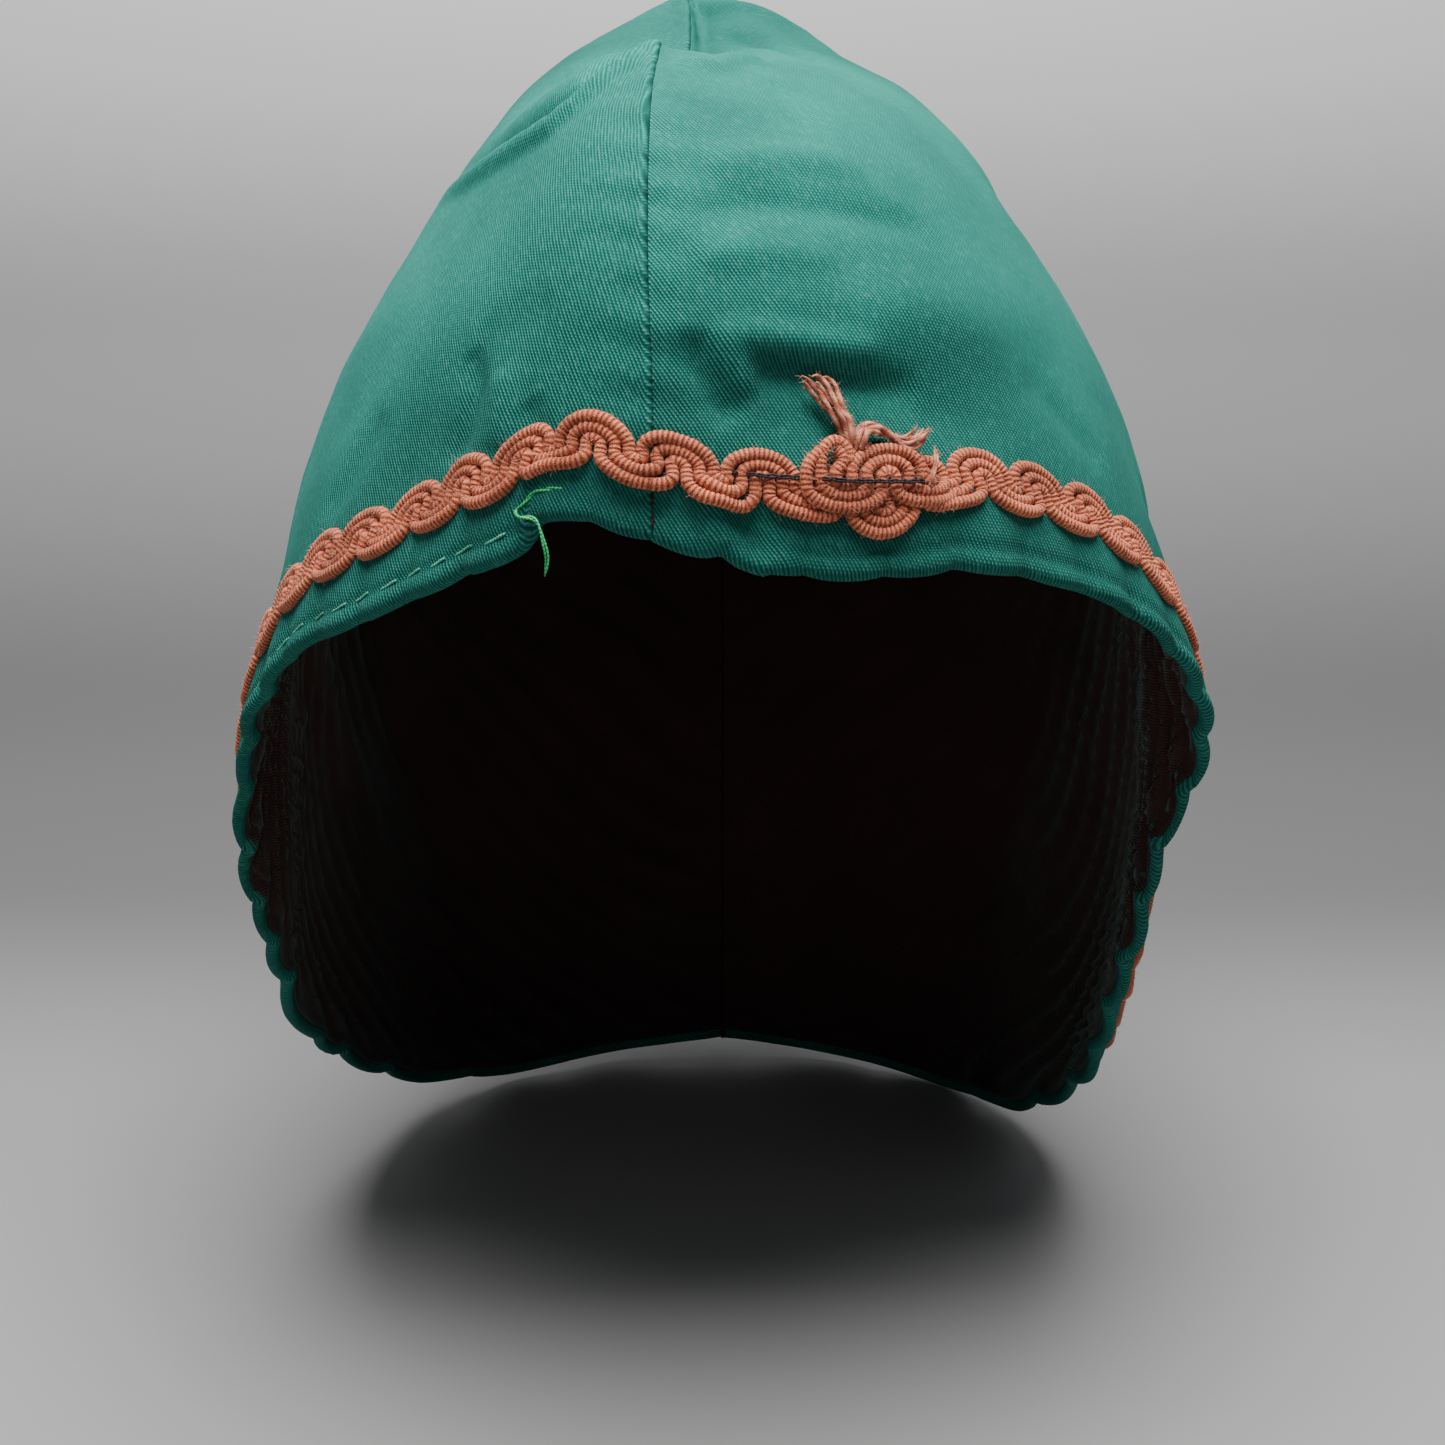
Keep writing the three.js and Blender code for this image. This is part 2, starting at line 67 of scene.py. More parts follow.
CAMERA_PLACE = (0.0, -496 * MM, 9.3 * MM)
CAMERA_DOWN = math.radians(15.5)
CAMERA_NEAR = 0.01
FLOOR_HEIGHT = -246 * MM
FLOOR_FRONT = -1.6
FLOOR_BACK = 0.42
FLOOR_HALF_WIDTH = 2.2
SWEEP_RADIUS = 0.5
SWEEP_STEPS = 24
WALL_RISE = 1.6
# Painted shade on the paper, from the front of the floor (0) to the top of the wall (1): it is
# painted darkest towards the back of the floor, where it begins to bend up, and paler up the bend
# and the wall.
PAPER_PAINTED_SHADES = (
    (0.36, 0.27), (0.40, 0.23), (0.445, 0.12), (0.50, 0.115), (0.60, 0.24), (0.70, 0.62),
)
PAPER_TINT = (1.0, 1.005, 1.025)
PAPER_ROUGHNESS = 0.7
PAPER_SPECULAR = 0.2
AMBIENT_COLOUR = (0.90, 0.95, 1.0, 1.0)
AMBIENT_STRENGTH = 0.08
# Each lamp: its name, place and target, its size, its power in watts and its colour.
LAMPS = (
    ("overhead", (0.0, -0.17, 1.05), (-0.01, -0.02, -0.10), (0.9, 0.8), 43.0, (1.0, 0.99, 0.97)),
    ("window", (0.85, -0.75, 0.75), (0.0, 0.0, -0.08), (0.7, 0.7), 1.0, (0.95, 0.98, 1.0)),
    ("front_fill", (-0.6, -1.3, 0.35), (0.0, 0.0, -0.10), (0.9, 0.8), 1.6, (1.0, 0.99, 0.98)),
)


def new_material(name):
    """A material with a Principled shader, and its nodes and links to build on."""
    material = bpy.data.materials.new(name)
    material.use_nodes = True
    nodes = material.node_tree.nodes
    return material, nodes, material.node_tree.links, nodes["Principled BSDF"]


def add_object(name, mesh):
    """Puts a finished mesh in the scene as an object of that name at the origin."""
    made = bpy.data.objects.new(name, mesh)
    bpy.context.scene.collection.objects.link(made)
    return made


camera_data = bpy.data.cameras.new("camera")
camera_data.sensor_fit = "HORIZONTAL"
camera_data.sensor_width = SENSOR_WIDTH
camera_data.lens = FOCAL_LENGTH_IN_PIXELS / IMAGE_WIDTH * SENSOR_WIDTH
camera_data.clip_start = CAMERA_NEAR
camera = bpy.data.objects.new("camera", camera_data)
camera.location = CAMERA_PLACE
camera.rotation_euler = (math.pi / 2 - CAMERA_DOWN, 0, 0)
bpy.context.scene.collection.objects.link(camera)
bpy.context.scene.camera = camera

sweep = bmesh.new()
front_corners = [
    sweep.verts.new((side * FLOOR_HALF_WIDTH, FLOOR_FRONT, FLOOR_HEIGHT)) for side in (1, -1)
]
edge = sweep.edges.new(front_corners)
run = bmesh.ops.extrude_edge_only(sweep, edges=[edge])["geom"]
ends = [part for part in run if isinstance(part, bmesh.types.BMVert)]
bmesh.ops.translate(sweep, verts=ends, vec=(0, FLOOR_BACK - FLOOR_FRONT, 0))
bend = bmesh.ops.spin(
    sweep,
    geom=ends + [part for part in run if isinstance(part, bmesh.types.BMEdge)],
    cent=(0, FLOOR_BACK, FLOOR_HEIGHT + SWEEP_RADIUS),
    axis=(1, 0, 0),
    angle=math.pi / 2,
    steps=SWEEP_STEPS,
    use_merge=False,
    use_duplicate=False,
)["geom_last"]
wall_foot = [part for part in bend if isinstance(part, bmesh.types.BMEdge)]
wall = bmesh.ops.extrude_edge_only(sweep, edges=wall_foot)["geom"]
wall_top = [part for part in wall if isinstance(part, bmesh.types.BMVert)]
bmesh.ops.translate(sweep, verts=wall_top, vec=(0, 0, WALL_RISE))
bmesh.ops.remove_doubles(sweep, verts=sweep.verts, dist=1e-5)
for face in sweep.faces:
    face.smooth = True
floor_mesh = bpy.data.meshes.new("backdrop")
sweep.to_mesh(floor_mesh)
sweep.free()
backdrop = add_object("backdrop", floor_mesh)
paper, nodes, links, shader = new_material("matt_paper")
place = nodes.new("ShaderNodeTexCoord")
apart = nodes.new("ShaderNodeSeparateXYZ")
links.new(place.outputs["Object"], apart.inputs[0])
path = nodes.new("ShaderNodeMath")
path.operation = "ADD"
links.new(apart.outputs["Y"], path.inputs[0])
links.new(apart.outputs["Z"], path.inputs[1])
share = nodes.new("ShaderNodeMapRange")
share.inputs["From Min"].default_value = FLOOR_FRONT + FLOOR_HEIGHT
share.inputs["From Max"].default_value = FLOOR_BACK + SWEEP_RADIUS + WALL_RISE + FLOOR_HEIGHT
links.new(path.outputs[0], share.inputs["Value"])
# Painted shade: the paper's colour comes from this ramp, darker and paler along the sweep.
shades = nodes.new("ShaderNodeValToRGB")
shades.color_ramp.interpolation = "EASE"
for spare in PAPER_PAINTED_SHADES[2:]:
    shades.color_ramp.elements.new(0.5)
for element, (position, shade) in zip(shades.color_ramp.elements, PAPER_PAINTED_SHADES):
    element.position = position
    element.color = (*(shade * tint for tint in PAPER_TINT), 1.0)
links.new(share.outputs["Result"], shades.inputs["Fac"])
links.new(shades.outputs["Color"], shader.inputs["Base Color"])
shader.inputs["Roughness"].default_value = PAPER_ROUGHNESS
shader.inputs["Specular IOR Level"].default_value = PAPER_SPECULAR
backdrop.data.materials.append(paper)

for name, place, target, size, power, colour in LAMPS:
    lamp = bpy.data.lights.new(name, "AREA")
    lamp.shape = "RECTANGLE"
    lamp.size, lamp.size_y = size
    lamp.energy = power
    lamp.color = colour
    holder = bpy.data.objects.new(name, lamp)
    holder.location = place
    holder.rotation_euler = (Vector(target) - Vector(place)).to_track_quat("-Z", "Y").to_euler()
    bpy.context.scene.collection.objects.link(holder)
world = bpy.data.worlds.new("soft_room")
world.use_nodes = True
room = world.node_tree.nodes["Background"]
room.inputs["Color"].default_value = AMBIENT_COLOUR
room.inputs["Strength"].default_value = AMBIENT_STRENGTH
bpy.context.scene.world = world


# The cut of the cloth.
# Each half of the hood is one piece of cloth, sewn to the other along the crest. The frame holds
# a half as rings of points from the tip to the hem, and a smooth sheet is run through them here.
RING_POINTS = 27
OUTER_RINGS = 20
POLE_EDGES = 20
SEAM_FACE_TILT = 0.9
MERGE_DISTANCE = 2e-6
SLIVER = 1e-7
# The strips between these ring points, from this ring to the hem, show which way the cloth falls.
FRONT_STRIPS = slice(2, 10)
CROWN_RING = 4


def cloth_rings(node, rings, upper):
    """The points of one face of a packed half: rows from the tip to the hem, each seam to seam."""
    shell = bmesh.new()
    shell.from_mesh(frame["nodes"][node].data)
    bmesh.ops.remove_doubles(shell, verts=shell.verts, dist=1e-6)
    shell.normal_update()
    poles = sorted((v for v in shell.verts if len(v.link_edges) > POLE_EDGES), key=lambda v: v.co.z)
    pole = poles[-1] if upper else poles[0]
    beside = {}
    for face in pole.link_faces:
        if abs(face.normal.x) < SEAM_FACE_TILT:
            first, second = (vert for vert in face.verts if vert is not pole)
            beside.setdefault(first, []).append(second)
            beside.setdefault(second, []).append(first)
    ring = [min((v for v in beside if len(beside[v]) == 1), key=lambda v: v.co.y)]
    while len(ring) < len(beside):
        ring.append(next(vert for vert in beside[ring[-1]] if vert not in ring))
    found = [[pole] * RING_POINTS, ring]
    reached = {pole, *ring}
    while len(found) <= rings:
        following = []
        for pair in zip(ring, ring[1:]):
            faces = shell.edges.get(pair).link_faces
            apex = next(v for face in faces for v in face.verts if v not in reached)
            if apex not in following:
                following.append(apex)
        if len(following) < RING_POINTS:
            first = shell.edges.get((ring[0], following[0]))
            last = shell.edges.get((ring[-1], following[-1]))
            rung = min((first, last), key=lambda e: e.calc_face_angle())
            known = reached | set(following)
            corner = next(v for face in rung.link_faces for v in face.verts if v not in known)
            following.insert(0 if rung is first else len(following), corner)
        ring = following
        found.append(ring)
        reached |= set(ring)
    points = np.array([[vert.co[:] for vert in row] for row in found])
    shell.free()
    return points


def spline_weights(knots, places):
    """Weights that run a smooth curve through values at the knots and read it at the places."""
    knots = np.asarray(knots, float)
    places = np.asarray(places, float)
    steps = np.diff(knots)
    count = len(knots)
    system = np.eye(count)
    change = np.zeros((count, count))
    for k in range(1, count - 1):
        before, after = steps[k - 1], steps[k]
        system[k, k - 1 : k + 2] = before, 2 * (before + after), after
        change[k, k - 1 : k + 2] = 6 / before, -6 / before - 6 / after, 6 / after
    bends = np.linalg.solve(system, change)
    span = np.clip(np.searchsorted(knots, places) - 1, 0, count - 2)
    step = steps[span]
    low = (knots[span + 1] - places) / step
    high = 1 - low
    weights = np.zeros((len(places), count))
    row = np.arange(len(places))
    weights[row, span] += low
    weights[row, span + 1] += high
    weights += ((low**3 - low) * step**2 / 6)[:, None] * bends[span]
    weights += ((high**3 - high) * step**2 / 6)[:, None] * bends[span + 1]
    return weights


def unit(vectors):
    """The same vectors, each one long."""
    return vectors / np.maximum(np.linalg.norm(vectors, axis=-1, keepdims=True), 1e-12)


def face_normals(grid, side):
    """Outward normals of a grid of cloth points; side is 1 on the wearer's left half."""
    down = np.gradient(grid, axis=0)
    across = np.gradient(grid, axis=1)
    down[0] = grid[1] - grid[0]
    across[0] = across[1]
    return unit(np.cross(down, across)) * side


def grid_mesh(name, points, marks, closed=True):
    """A mesh from a sheet of points in rows and columns; marks holds its UV layers, in metres."""
    rows, columns = points.shape[:2]
    sheet = bmesh.new()
    bmesh.ops.create_grid(sheet, x_segments=columns - 1, y_segments=rows - 1, size=0.5)
    mesh = bpy.data.meshes.new(name)
    sheet.to_mesh(mesh)
    flat = np.empty(len(mesh.vertices) * 3)
    mesh.vertices.foreach_get("co", flat)
    flat = flat.reshape(-1, 3)
    column = np.rint((flat[:, 0] + 0.5) * (columns - 1)).astype(int)
    row = np.rint((flat[:, 1] + 0.5) * (rows - 1)).astype(int)
    mesh.vertices.foreach_set("co", points[row, column].ravel())
    corner = np.empty(len(mesh.loops), dtype=int)
    mesh.loops.foreach_get("vertex_index", corner)
    for label, places in marks.items():
        layer = mesh.uv_layers.new(name=label)
        layer.data.foreach_set("uv", places[row[corner], column[corner]].ravel())
    sheet.clear()
    sheet.from_mesh(mesh)
    bmesh.ops.remove_doubles(sheet, verts=sheet.verts, dist=MERGE_DISTANCE)
    bmesh.ops.dissolve_degenerate(sheet, edges=sheet.edges, dist=SLIVER)
    if closed:
        bmesh.ops.recalc_face_normals(sheet, faces=sheet.faces)
    for face in sheet.faces:
        face.smooth = True
    sheet.to_mesh(mesh)
    sheet.free()
    return mesh


def flat_cut(rings, side):
    """Where each ring point lies on the flat cloth, in metres, with the crown at the top."""
    mesh = grid_mesh("flat_cut", rings, {"cut": np.zeros(rings.shape[:2] + (2,))}, closed=False)
    pattern = add_object("flat_cut", mesh)
    bpy.context.view_layer.objects.active = pattern
    pattern.select_set(True)
    bpy.ops.object.mode_set(mode="EDIT")
    bpy.ops.mesh.select_all(action="SELECT")
    bpy.ops.uv.unwrap(method="ANGLE_BASED", margin=0.0)
    bpy.ops.object.mode_set(mode="OBJECT")
    places = np.zeros((len(mesh.vertices), 2))
    for loop in mesh.loops:
        places[loop.vertex_index] = mesh.uv_layers.active.data[loop.index].uv
    corners = np.array([vert.co[:] for vert in mesh.vertices])
    nearest = [
        int(np.argmin(((corners - point) ** 2).sum(axis=1))) for point in rings.reshape(-1, 3)
    ]
    cut = places[nearest].reshape(rings.shape[:2] + (2,))
    bpy.data.objects.remove(pattern)
    bpy.data.meshes.remove(mesh)
    real = np.linalg.norm(np.diff(rings, axis=1), axis=-1).sum()
    cut *= real / np.linalg.norm(np.diff(cut, axis=1), axis=-1).sum()
    falls = (cut[-1, FRONT_STRIPS] - cut[CROWN_RING, FRONT_STRIPS]).mean(axis=0)
    turn = math.atan2(falls[1], falls[0]) + math.pi / 2
    spin = np.array([[math.cos(turn), math.sin(turn)], [-math.sin(turn), math.cos(turn)]])
    cut = cut @ spin.T
    if (cut[-1, FRONT_STRIPS.stop, 0] - cut[-1, FRONT_STRIPS.start, 0]) * side < 0:
        cut[..., 0] *= -1
    return cut - cut[0, 0]


# Outer twill, left and right.
# Two halves of green cotton twill, each cut about 380 mm along the hem and 240 mm high. They are
# sewn together along the crest and turned under at the hem, and the cloth pulls into soft folds.
TWILL_THICK = 0.8 * MM
# The flat cut of each half, with its turned hem: width, height and area, in metres.
TWILL_CUTS = {1: (0.383, 0.238, 0.0668), -1: (0.362, 0.243, 0.0615)}
HEM_ROLL_FRONT = 1.05 * MM
HEM_ROLL_SIDE = 0.6 * MM
HEM_ROLL_STEPS = 7
HEM_RETURN = ((0.5, 0.05), (1.0, 0.1), (1.6, 0.1))
CORNER_FROM_HEM = 0.87 * MM
ROW_STEP = 1.75 * MM
HEM_ROW_STEP = 1.15 * MM
HEM_BAND = 40 * MM
PANEL_COLUMNS = 204
SEAM_COLUMNS = (0.008, 0.018, 0.030, 0.045, 0.065, 0.1, 0.16, 0.25)
PLAIN_COLUMNS_FROM = 0.35
SEAM_ROUND = 0.5 * MM
SEAM_DEPTH = 0.9 * MM
SEAM_LEDGE = 0.30 * MM
SEAM_LEDGE_REACH = 2.6 * MM
# Ways along the hem from the front seam, in mm, where it is pinched; further round it goes on so.
HEM_NOTCHES = {
    1: (0, 12, 27, 41, 55, 70, 84, 99, 113, 128, 141, 155, 170, 185, 202, 219.7, 241, 263.6),
    -1: (0, 10, 23, 37, 51, 64, 77, 89, 101.9, 117.2, 130.4, 146.3, 160, 172, 187.4),
}
HEM_NOTCH_STEP = (14, 38)
HEM_LOBE_LENGTH = 15
HEM_LOBE_RANGE = (0.5, 1.4)
HEM_LOBE_SHARPNESS = 0.62
HEM_WAVE_FRONT = 0.7 * MM
HEM_WAVE_SIDE = 1.7 * MM
HEM_WAVE_SIDE_FROM = 75 * MM
HEM_WAVE_SIDE_BLEND = 12 * MM
HEM_WAVE_DOWN = 0.8 * MM
HEM_WAVE_REACH = 9 * MM
HEM_WAVE_STRENGTH = 0.65
HEM_WAVE_UNEVEN = 0.5
HEM_WAVE_DRIFT = 43
HEM_STITCH_FROM_HEM = 3.4 * MM
HEM_STITCH_DENT = 0.6 * MM
HEM_STITCH_REACH = 0.9 * MM
HEM_STITCH_START = 24 * MM
SEAM_PUCKER_PITCH = 8.5 * MM
SEAM_PUCKER = 0.22 * MM
SEAM_PUCKER_REACH = 9 * MM
SEAM_PUCKER_DRIFT = 3
SEAM_PUCKER_DRIFT_SIZE = 30 * MM
CLOTH_LUMP = 0.55 * MM
CLOTH_LUMP_SIZE = 26 * MM
SMALL_LUMP_SHARE = 0.35
SMALL_LUMP_SIZE = 9 * MM
# Each fold: its line through the cloth, its width and its rise, or dip below 0, in millimetres.
FOLDS = (
    (
        "edge of the crest",
        (
            (-10, -50, 14), (-12, -54, 13.7), (-15, -58.4, 12.3), (-18, -64, 9.8),
            (-21.5, -66.7, 7.1), (-25.5, -67.3, 4), (-29.2, -65.6, 1), (-35.4, -56.5, -2.6),
            (-42, -46, -6.5), (-49.3, -31, -10.5), (-55, -14, -15),
        ),
        2.5, 2.3,
    ),
    (
        "valley behind the crest",
        (
            (-10, -41, 15), (-17, -46, 13.8), (-21, -52, 11), (-25, -56, 7.8), (-29, -54, 5),
            (-34, -46, 1), (-40, -35, -2.4), (-47, -19, -6.5), (-52, 0, -12),
        ),
        4.2, -3.6,
    ),
    (
        "crest right of the seam",
        ((-8, -62, 10.5), (-2, -57.6, 10.5), (2, -47, 11.7), (7, -39, 12)),
        2.6, 1.9,
    ),
    (
        "hollow by that corner",
        ((9, -52, 9), (12, -62, 4.5), (15, -70, 0)),
        4.2, -1.3,
    ),
    (
        "seam up to the tip",
        ((-7.5, 28, 14), (-8, 42, 18.5), (-8.7, 53, 22.2), (-9.4, 70, 26)),
        2.0, 1.5,
    ),
    (
        "drop beside that seam",
        ((-3.6, 24, 14), (-3.9, 42, 18.5), (-4.4, 53, 22.2), (-5, 62, 25)),
        2.0, -1.8,
    ),
    (
        "fold right of the tip",
        ((-6, 70, 25.3), (1.7, 56.6, 24), (10.7, 47.6, 21.2), (17.3, 43, 17.7), (25, 18, 12)),
        2.6, 1.5,
    ),
    (
        "hollow under that fold",
        ((0, 39.9, 18), (5.5, 30, 17.5), (12, 12, 14.8), (20, -8, 11)),
        3.4, -2.3,
    ),
    (
        "dent by the seam",
        ((-5, -105.6, -31), (-4, -107, -37), (-1, -107.4, -42.5), (2, -107.7, -46.6)),
        3.0, -1.7,
    ),
    (
        "ridge by that dent",
        ((-1, -104.5, -30), (1.5, -105.5, -36), (4.5, -106.5, -42)),
        2.2, 1.0,
    ),
    (
        "ridge over the braid",
        ((0, -104.3, -31.5), (6, -102.8, -32.6), (17, -99.1, -34.4), (27, -94.1, -36)),
        2.5, 1.3,
    ),
    (
        "hollow over the lap",
        ((4, -105, -38.3), (11.4, -102.5, -39.4), (22, -98.2, -41.1), (34, -91.6, -43.2)),
        3.4, -1.9,
    ),
    (
        "slack under the crown",
        ((-4, -88, -5), (10, -79, -4), (25, -69, -6)),
        3.4, 1.1,
    ),
    (
        "slack half way down",
        ((-5.5, -95, -13), (8, -88, -12), (22, -80, -14), (37, -69, -18)),
        3.6, -1.2,
    ),
    (
        "slack above the ridge",
        ((-5.5, -100, -20), (6, -95, -19.5), (20, -88.5, -21)),
        3.2, 1.0,
    ),
    (
        "pull by the left braid",
        (
            (-46.6, -94.7, -56.3), (-43.8, -94.2, -49.4), (-42, -92.8, -42.7),
            (-42.7, -87.8, -36.3),
        ),
        2.8, -1.3,
    ),
    (
        "swell beside that pull",
        ((-38, -101.9, -51.7), (-37.2, -99.8, -45.2), (-37.3, -96.4, -38.8)),
        3.2, 0.9,
    ),
    (
        "pull over the scallop",
        ((-27.3, -109.4, -54), (-30, -106.8, -49.3), (-32.6, -102.8, -43)),
        2.6, -0.8,
    ),
    (
        "soft dent on the left",
        ((-28, -99, -27), (-35, -95, -32), (-42, -88, -36)),
        5.0, -0.7,
    ),
    (
        "fold below the braid",
        ((-3.3, -111.7, -55.2), (-1.8, -112.8, -61), (0.3, -113.5, -67)),
        2.0, 1.2,
    ),
    (
        "hollow by that fold",
        ((2.9, -111.4, -58.7), (4.9, -112.4, -63.6), (7, -113, -68)),
        2.8, -1.5,
    ),
    (
        "pull low on the left",
        ((-73, -70, -70), (-67, -72, -60), (-60, -72, -50)),
        4.5, -0.9,
    ),
    (
        "pull low on the right",
        ((70, -66, -61), (62, -70, -51), (54, -73, -42)),
        4.5, -1.0,
    ),
    (
        "drape on the right side",
        ((88, -34, -70), (88, -8, -100), (83, 26, -146), (76, 44, -190)),
        7.0, -3.0,
    ),
    (
        "drape behind it",
        ((86, 0, -60), (82, 30, -100), (72, 54, -160), (66, 66, -205)),
        7.5, 2.4,
    ),
    (
        "slack high on the right",
        ((60, -20, -8), (66, 20, -22), (58, 60, -36)),
        8.0, -2.0,
    ),
    (
        "pull from the right hem",
        ((84, -30, -130), (86, -6, -112), (84, 22, -84)),
        5.0, -1.8,
    ),
    (
        "drape on the left side",
        ((-90, -30, -76), (-90, -4, -106), (-84, 28, -150), (-77, 46, -192)),
        7.0, -3.0,
    ),
    (
        "drape behind that",
        ((-88, 2, -64), (-84, 32, -104), (-74, 56, -164), (-68, 68, -208)),
        7.5, 2.4,
    ),
    (
        "slack high on the left",
        ((-62, -16, -12), (-68, 24, -26), (-58, 62, -40)),
        8.0, -2.0,
    ),
    (
        "pull from the left hem",
        ((-86, -28, -136), (-88, -4, -118), (-86, 24, -90)),
        5.0, -1.8,
    ),
    (
        "hollow at the back",
        ((16, 106, -46), (25, 102, -110), (22, 90, -190), (20, 86, -214)),
        8.0, -2.6,
    ),
    (
        "hollow beside it",
        ((-16, 106, -42), (-27, 101, -106), (-25, 89, -188), (-22, 85, -212)),
        8.0, -2.6,
    ),
    (
        "swell at the nape",
        ((48, 90, -120), (46, 84, -170), (40, 80, -210)),
        8.0, 2.0,
    ),
    (
        "swell across from it",
        ((-50, 88, -124), (-48, 83, -172), (-42, 79, -210)),
        8.0, 2.0,
    ),
)
# Where the stitching of the right half's hem ends, the hem jumps up: way from the seam and rise.
HEM_JUMP = ((0, 0), (5, 0.3), (12, 1.5), (19, 2.9), (21.4, 2.8), (23.0, -0.9), (31, 0))
HEM_JUMP_REACH = 8.5 * MM


def lift_by(grid, line, width, rise):
    """How far a fold along a line raises each point of the cloth."""
    line = np.array(line) * MM
    nearest = np.full(grid.shape[:2], 1.0)
    way = np.zeros(grid.shape[:2])
    for part, (start, end) in enumerate(zip(line, line[1:])):
        reach = end - start
        share = np.clip(((grid - start) @ reach) / (reach @ reach), 0, 1)
        away = np.linalg.norm(grid - start - share[..., None] * reach, axis=-1)
        way = np.where(away < nearest, (part + share) / (len(line) - 1), way)
        nearest = np.minimum(nearest, away)
    fading = 1 - np.abs(2 * way - 1) ** 5
    return rise * MM * fading * np.exp(-((nearest / (width * MM)) ** 2))


def smooth_lumps(grid, size, seed):
    """Soft unevenness of hanging cloth, from -1 to 1, with lumps of about that size."""
    flat = grid.reshape(-1, 3) / size + seed
    return np.array([noise.noise(Vector(point)) for point in flat]).reshape(grid.shape[:2])


random.seed(5)
halves = {}
outer_rings = {
    side: cloth_rings(node, OUTER_RINGS, upper=True)
    for side, node in ((1, "outer_left"), (-1, "outer_right"))
}
fall = np.mean(
    [np.linalg.norm(np.diff(rings, axis=0), axis=-1) for rings in outer_rings.values()], axis=(0, 2)
)
knots = np.concatenate(([0], np.cumsum(fall)))
near_hem = knots[-1] - HEM_BAND
places = np.concatenate(
    (
        np.linspace(0, near_hem, round(near_hem / ROW_STEP), endpoint=False),
        np.linspace(near_hem, knots[-1], round(HEM_BAND / HEM_ROW_STEP)),
    )
)
last = RING_POINTS - 1
strips = np.concatenate(
    (
        [0],
        SEAM_COLUMNS,
        np.linspace(PLAIN_COLUMNS_FROM, last - PLAIN_COLUMNS_FROM, PANEL_COLUMNS),
        [last - place for place in reversed(SEAM_COLUMNS)],
        [last],
    )
)
for side, rings in outer_rings.items():
    down = spline_weights(knots, places)
    along = spline_weights(np.arange(RING_POINTS), strips)
    grid = np.einsum("ri,ijk,cj->rck", down, rings, along)
    cut = np.einsum("ri,ijk,cj->rck", down, flat_cut(rings, side), along)
    steps = np.linalg.norm(np.diff(grid, axis=0), axis=-1)
    from_hem = CORNER_FROM_HEM + np.concatenate(
        (np.cumsum(steps[::-1], axis=0)[::-1], np.zeros((1, grid.shape[1])))
    )
    halves[side] = {"grid": grid, "cut": cut, "from_hem": from_hem, "strips": strips}

for side, half in halves.items():
    grid = half["grid"]
    normals = face_normals(grid, side)
    rise = CLOTH_LUMP * smooth_lumps(grid, CLOTH_LUMP_SIZE, seed=3.7)
    rise += SMALL_LUMP_SHARE * CLOTH_LUMP * smooth_lumps(grid, SMALL_LUMP_SIZE, seed=11.3)
    for _, line, width, height in FOLDS:
        rise += lift_by(grid, line, width, height)
    steps = np.linalg.norm(np.diff(grid, axis=1), axis=-1)
    run = np.concatenate((np.zeros((grid.shape[0], 1)), np.cumsum(steps, axis=1)), axis=1)
    seam_run = np.minimum(run, run[:, -1:] - run)
    hem_run = run[-1]
    notches = list(HEM_NOTCHES[side])
    while notches[-1] < hem_run[-1] / MM:
        notches.append(notches[-1] + random.uniform(*HEM_NOTCH_STEP))
    notches = np.array(notches) * MM
    lobe = np.clip(np.searchsorted(notches, hem_run, side="right") - 1, 0, len(notches) - 2)
    lobe_length = notches[lobe + 1] - notches[lobe]
    across_lobe = (hem_run - notches[lobe]) / lobe_length
    wave = 2 * np.sin(math.pi * across_lobe) ** HEM_LOBE_SHARPNESS - 1
    wave *= np.clip(lobe_length / (HEM_LOBE_LENGTH * MM), *HEM_LOBE_RANGE)
    at_side = 1 / (1 + np.exp(-(hem_run - HEM_WAVE_SIDE_FROM) / HEM_WAVE_SIDE_BLEND))
    drop = HEM_WAVE_DOWN * wave
    wave *= HEM_WAVE_FRONT + (HEM_WAVE_SIDE - HEM_WAVE_FRONT) * at_side
    uneven = [noise.noise(Vector((place * HEM_WAVE_DRIFT, 7.0, side * 2.0))) for place in hem_run]
    strength = HEM_WAVE_STRENGTH + HEM_WAVE_UNEVEN * np.array(uneven)
    hem_fade = np.exp(-((half["from_hem"] / HEM_WAVE_REACH) ** 1.5))
    rise += wave * strength * hem_fade
    off_stitch = (half["from_hem"] - HEM_STITCH_FROM_HEM) / HEM_STITCH_REACH
    rise -= HEM_STITCH_DENT * np.exp(-(off_stitch**2)) * (hem_run > HEM_STITCH_START)
    drift = SEAM_PUCKER_DRIFT * smooth_lumps(grid, SEAM_PUCKER_DRIFT_SIZE, seed=5.1)
    pucker = np.sin(2 * math.pi * half["from_hem"] / SEAM_PUCKER_PITCH + drift)
    rise += SEAM_PUCKER * pucker * np.exp(-((seam_run / SEAM_PUCKER_REACH) ** 2))
    rise[0] = rise[0].mean()
    downward = unit(np.gradient(grid, axis=0))
    grid = grid + rise[..., None] * normals
    grid += (drop * strength)[None, :, None] * hem_fade[..., None] * downward
    if side < 0:
        ways, rises = zip(*HEM_JUMP)
        jump = np.interp(hem_run / MM, ways, rises) * MM
        jump_fade = np.exp(-((half["from_hem"] / HEM_JUMP_REACH) ** 2))
        grid -= jump[None, :, None] * jump_fade[..., None] * downward
    half["grid"] = grid
    half["seam_run"] = seam_run
    half["roll"] = (HEM_ROLL_FRONT + (HEM_ROLL_SIDE - HEM_ROLL_FRONT) * at_side)[:, None]
    half["normals"] = face_normals(grid, side)


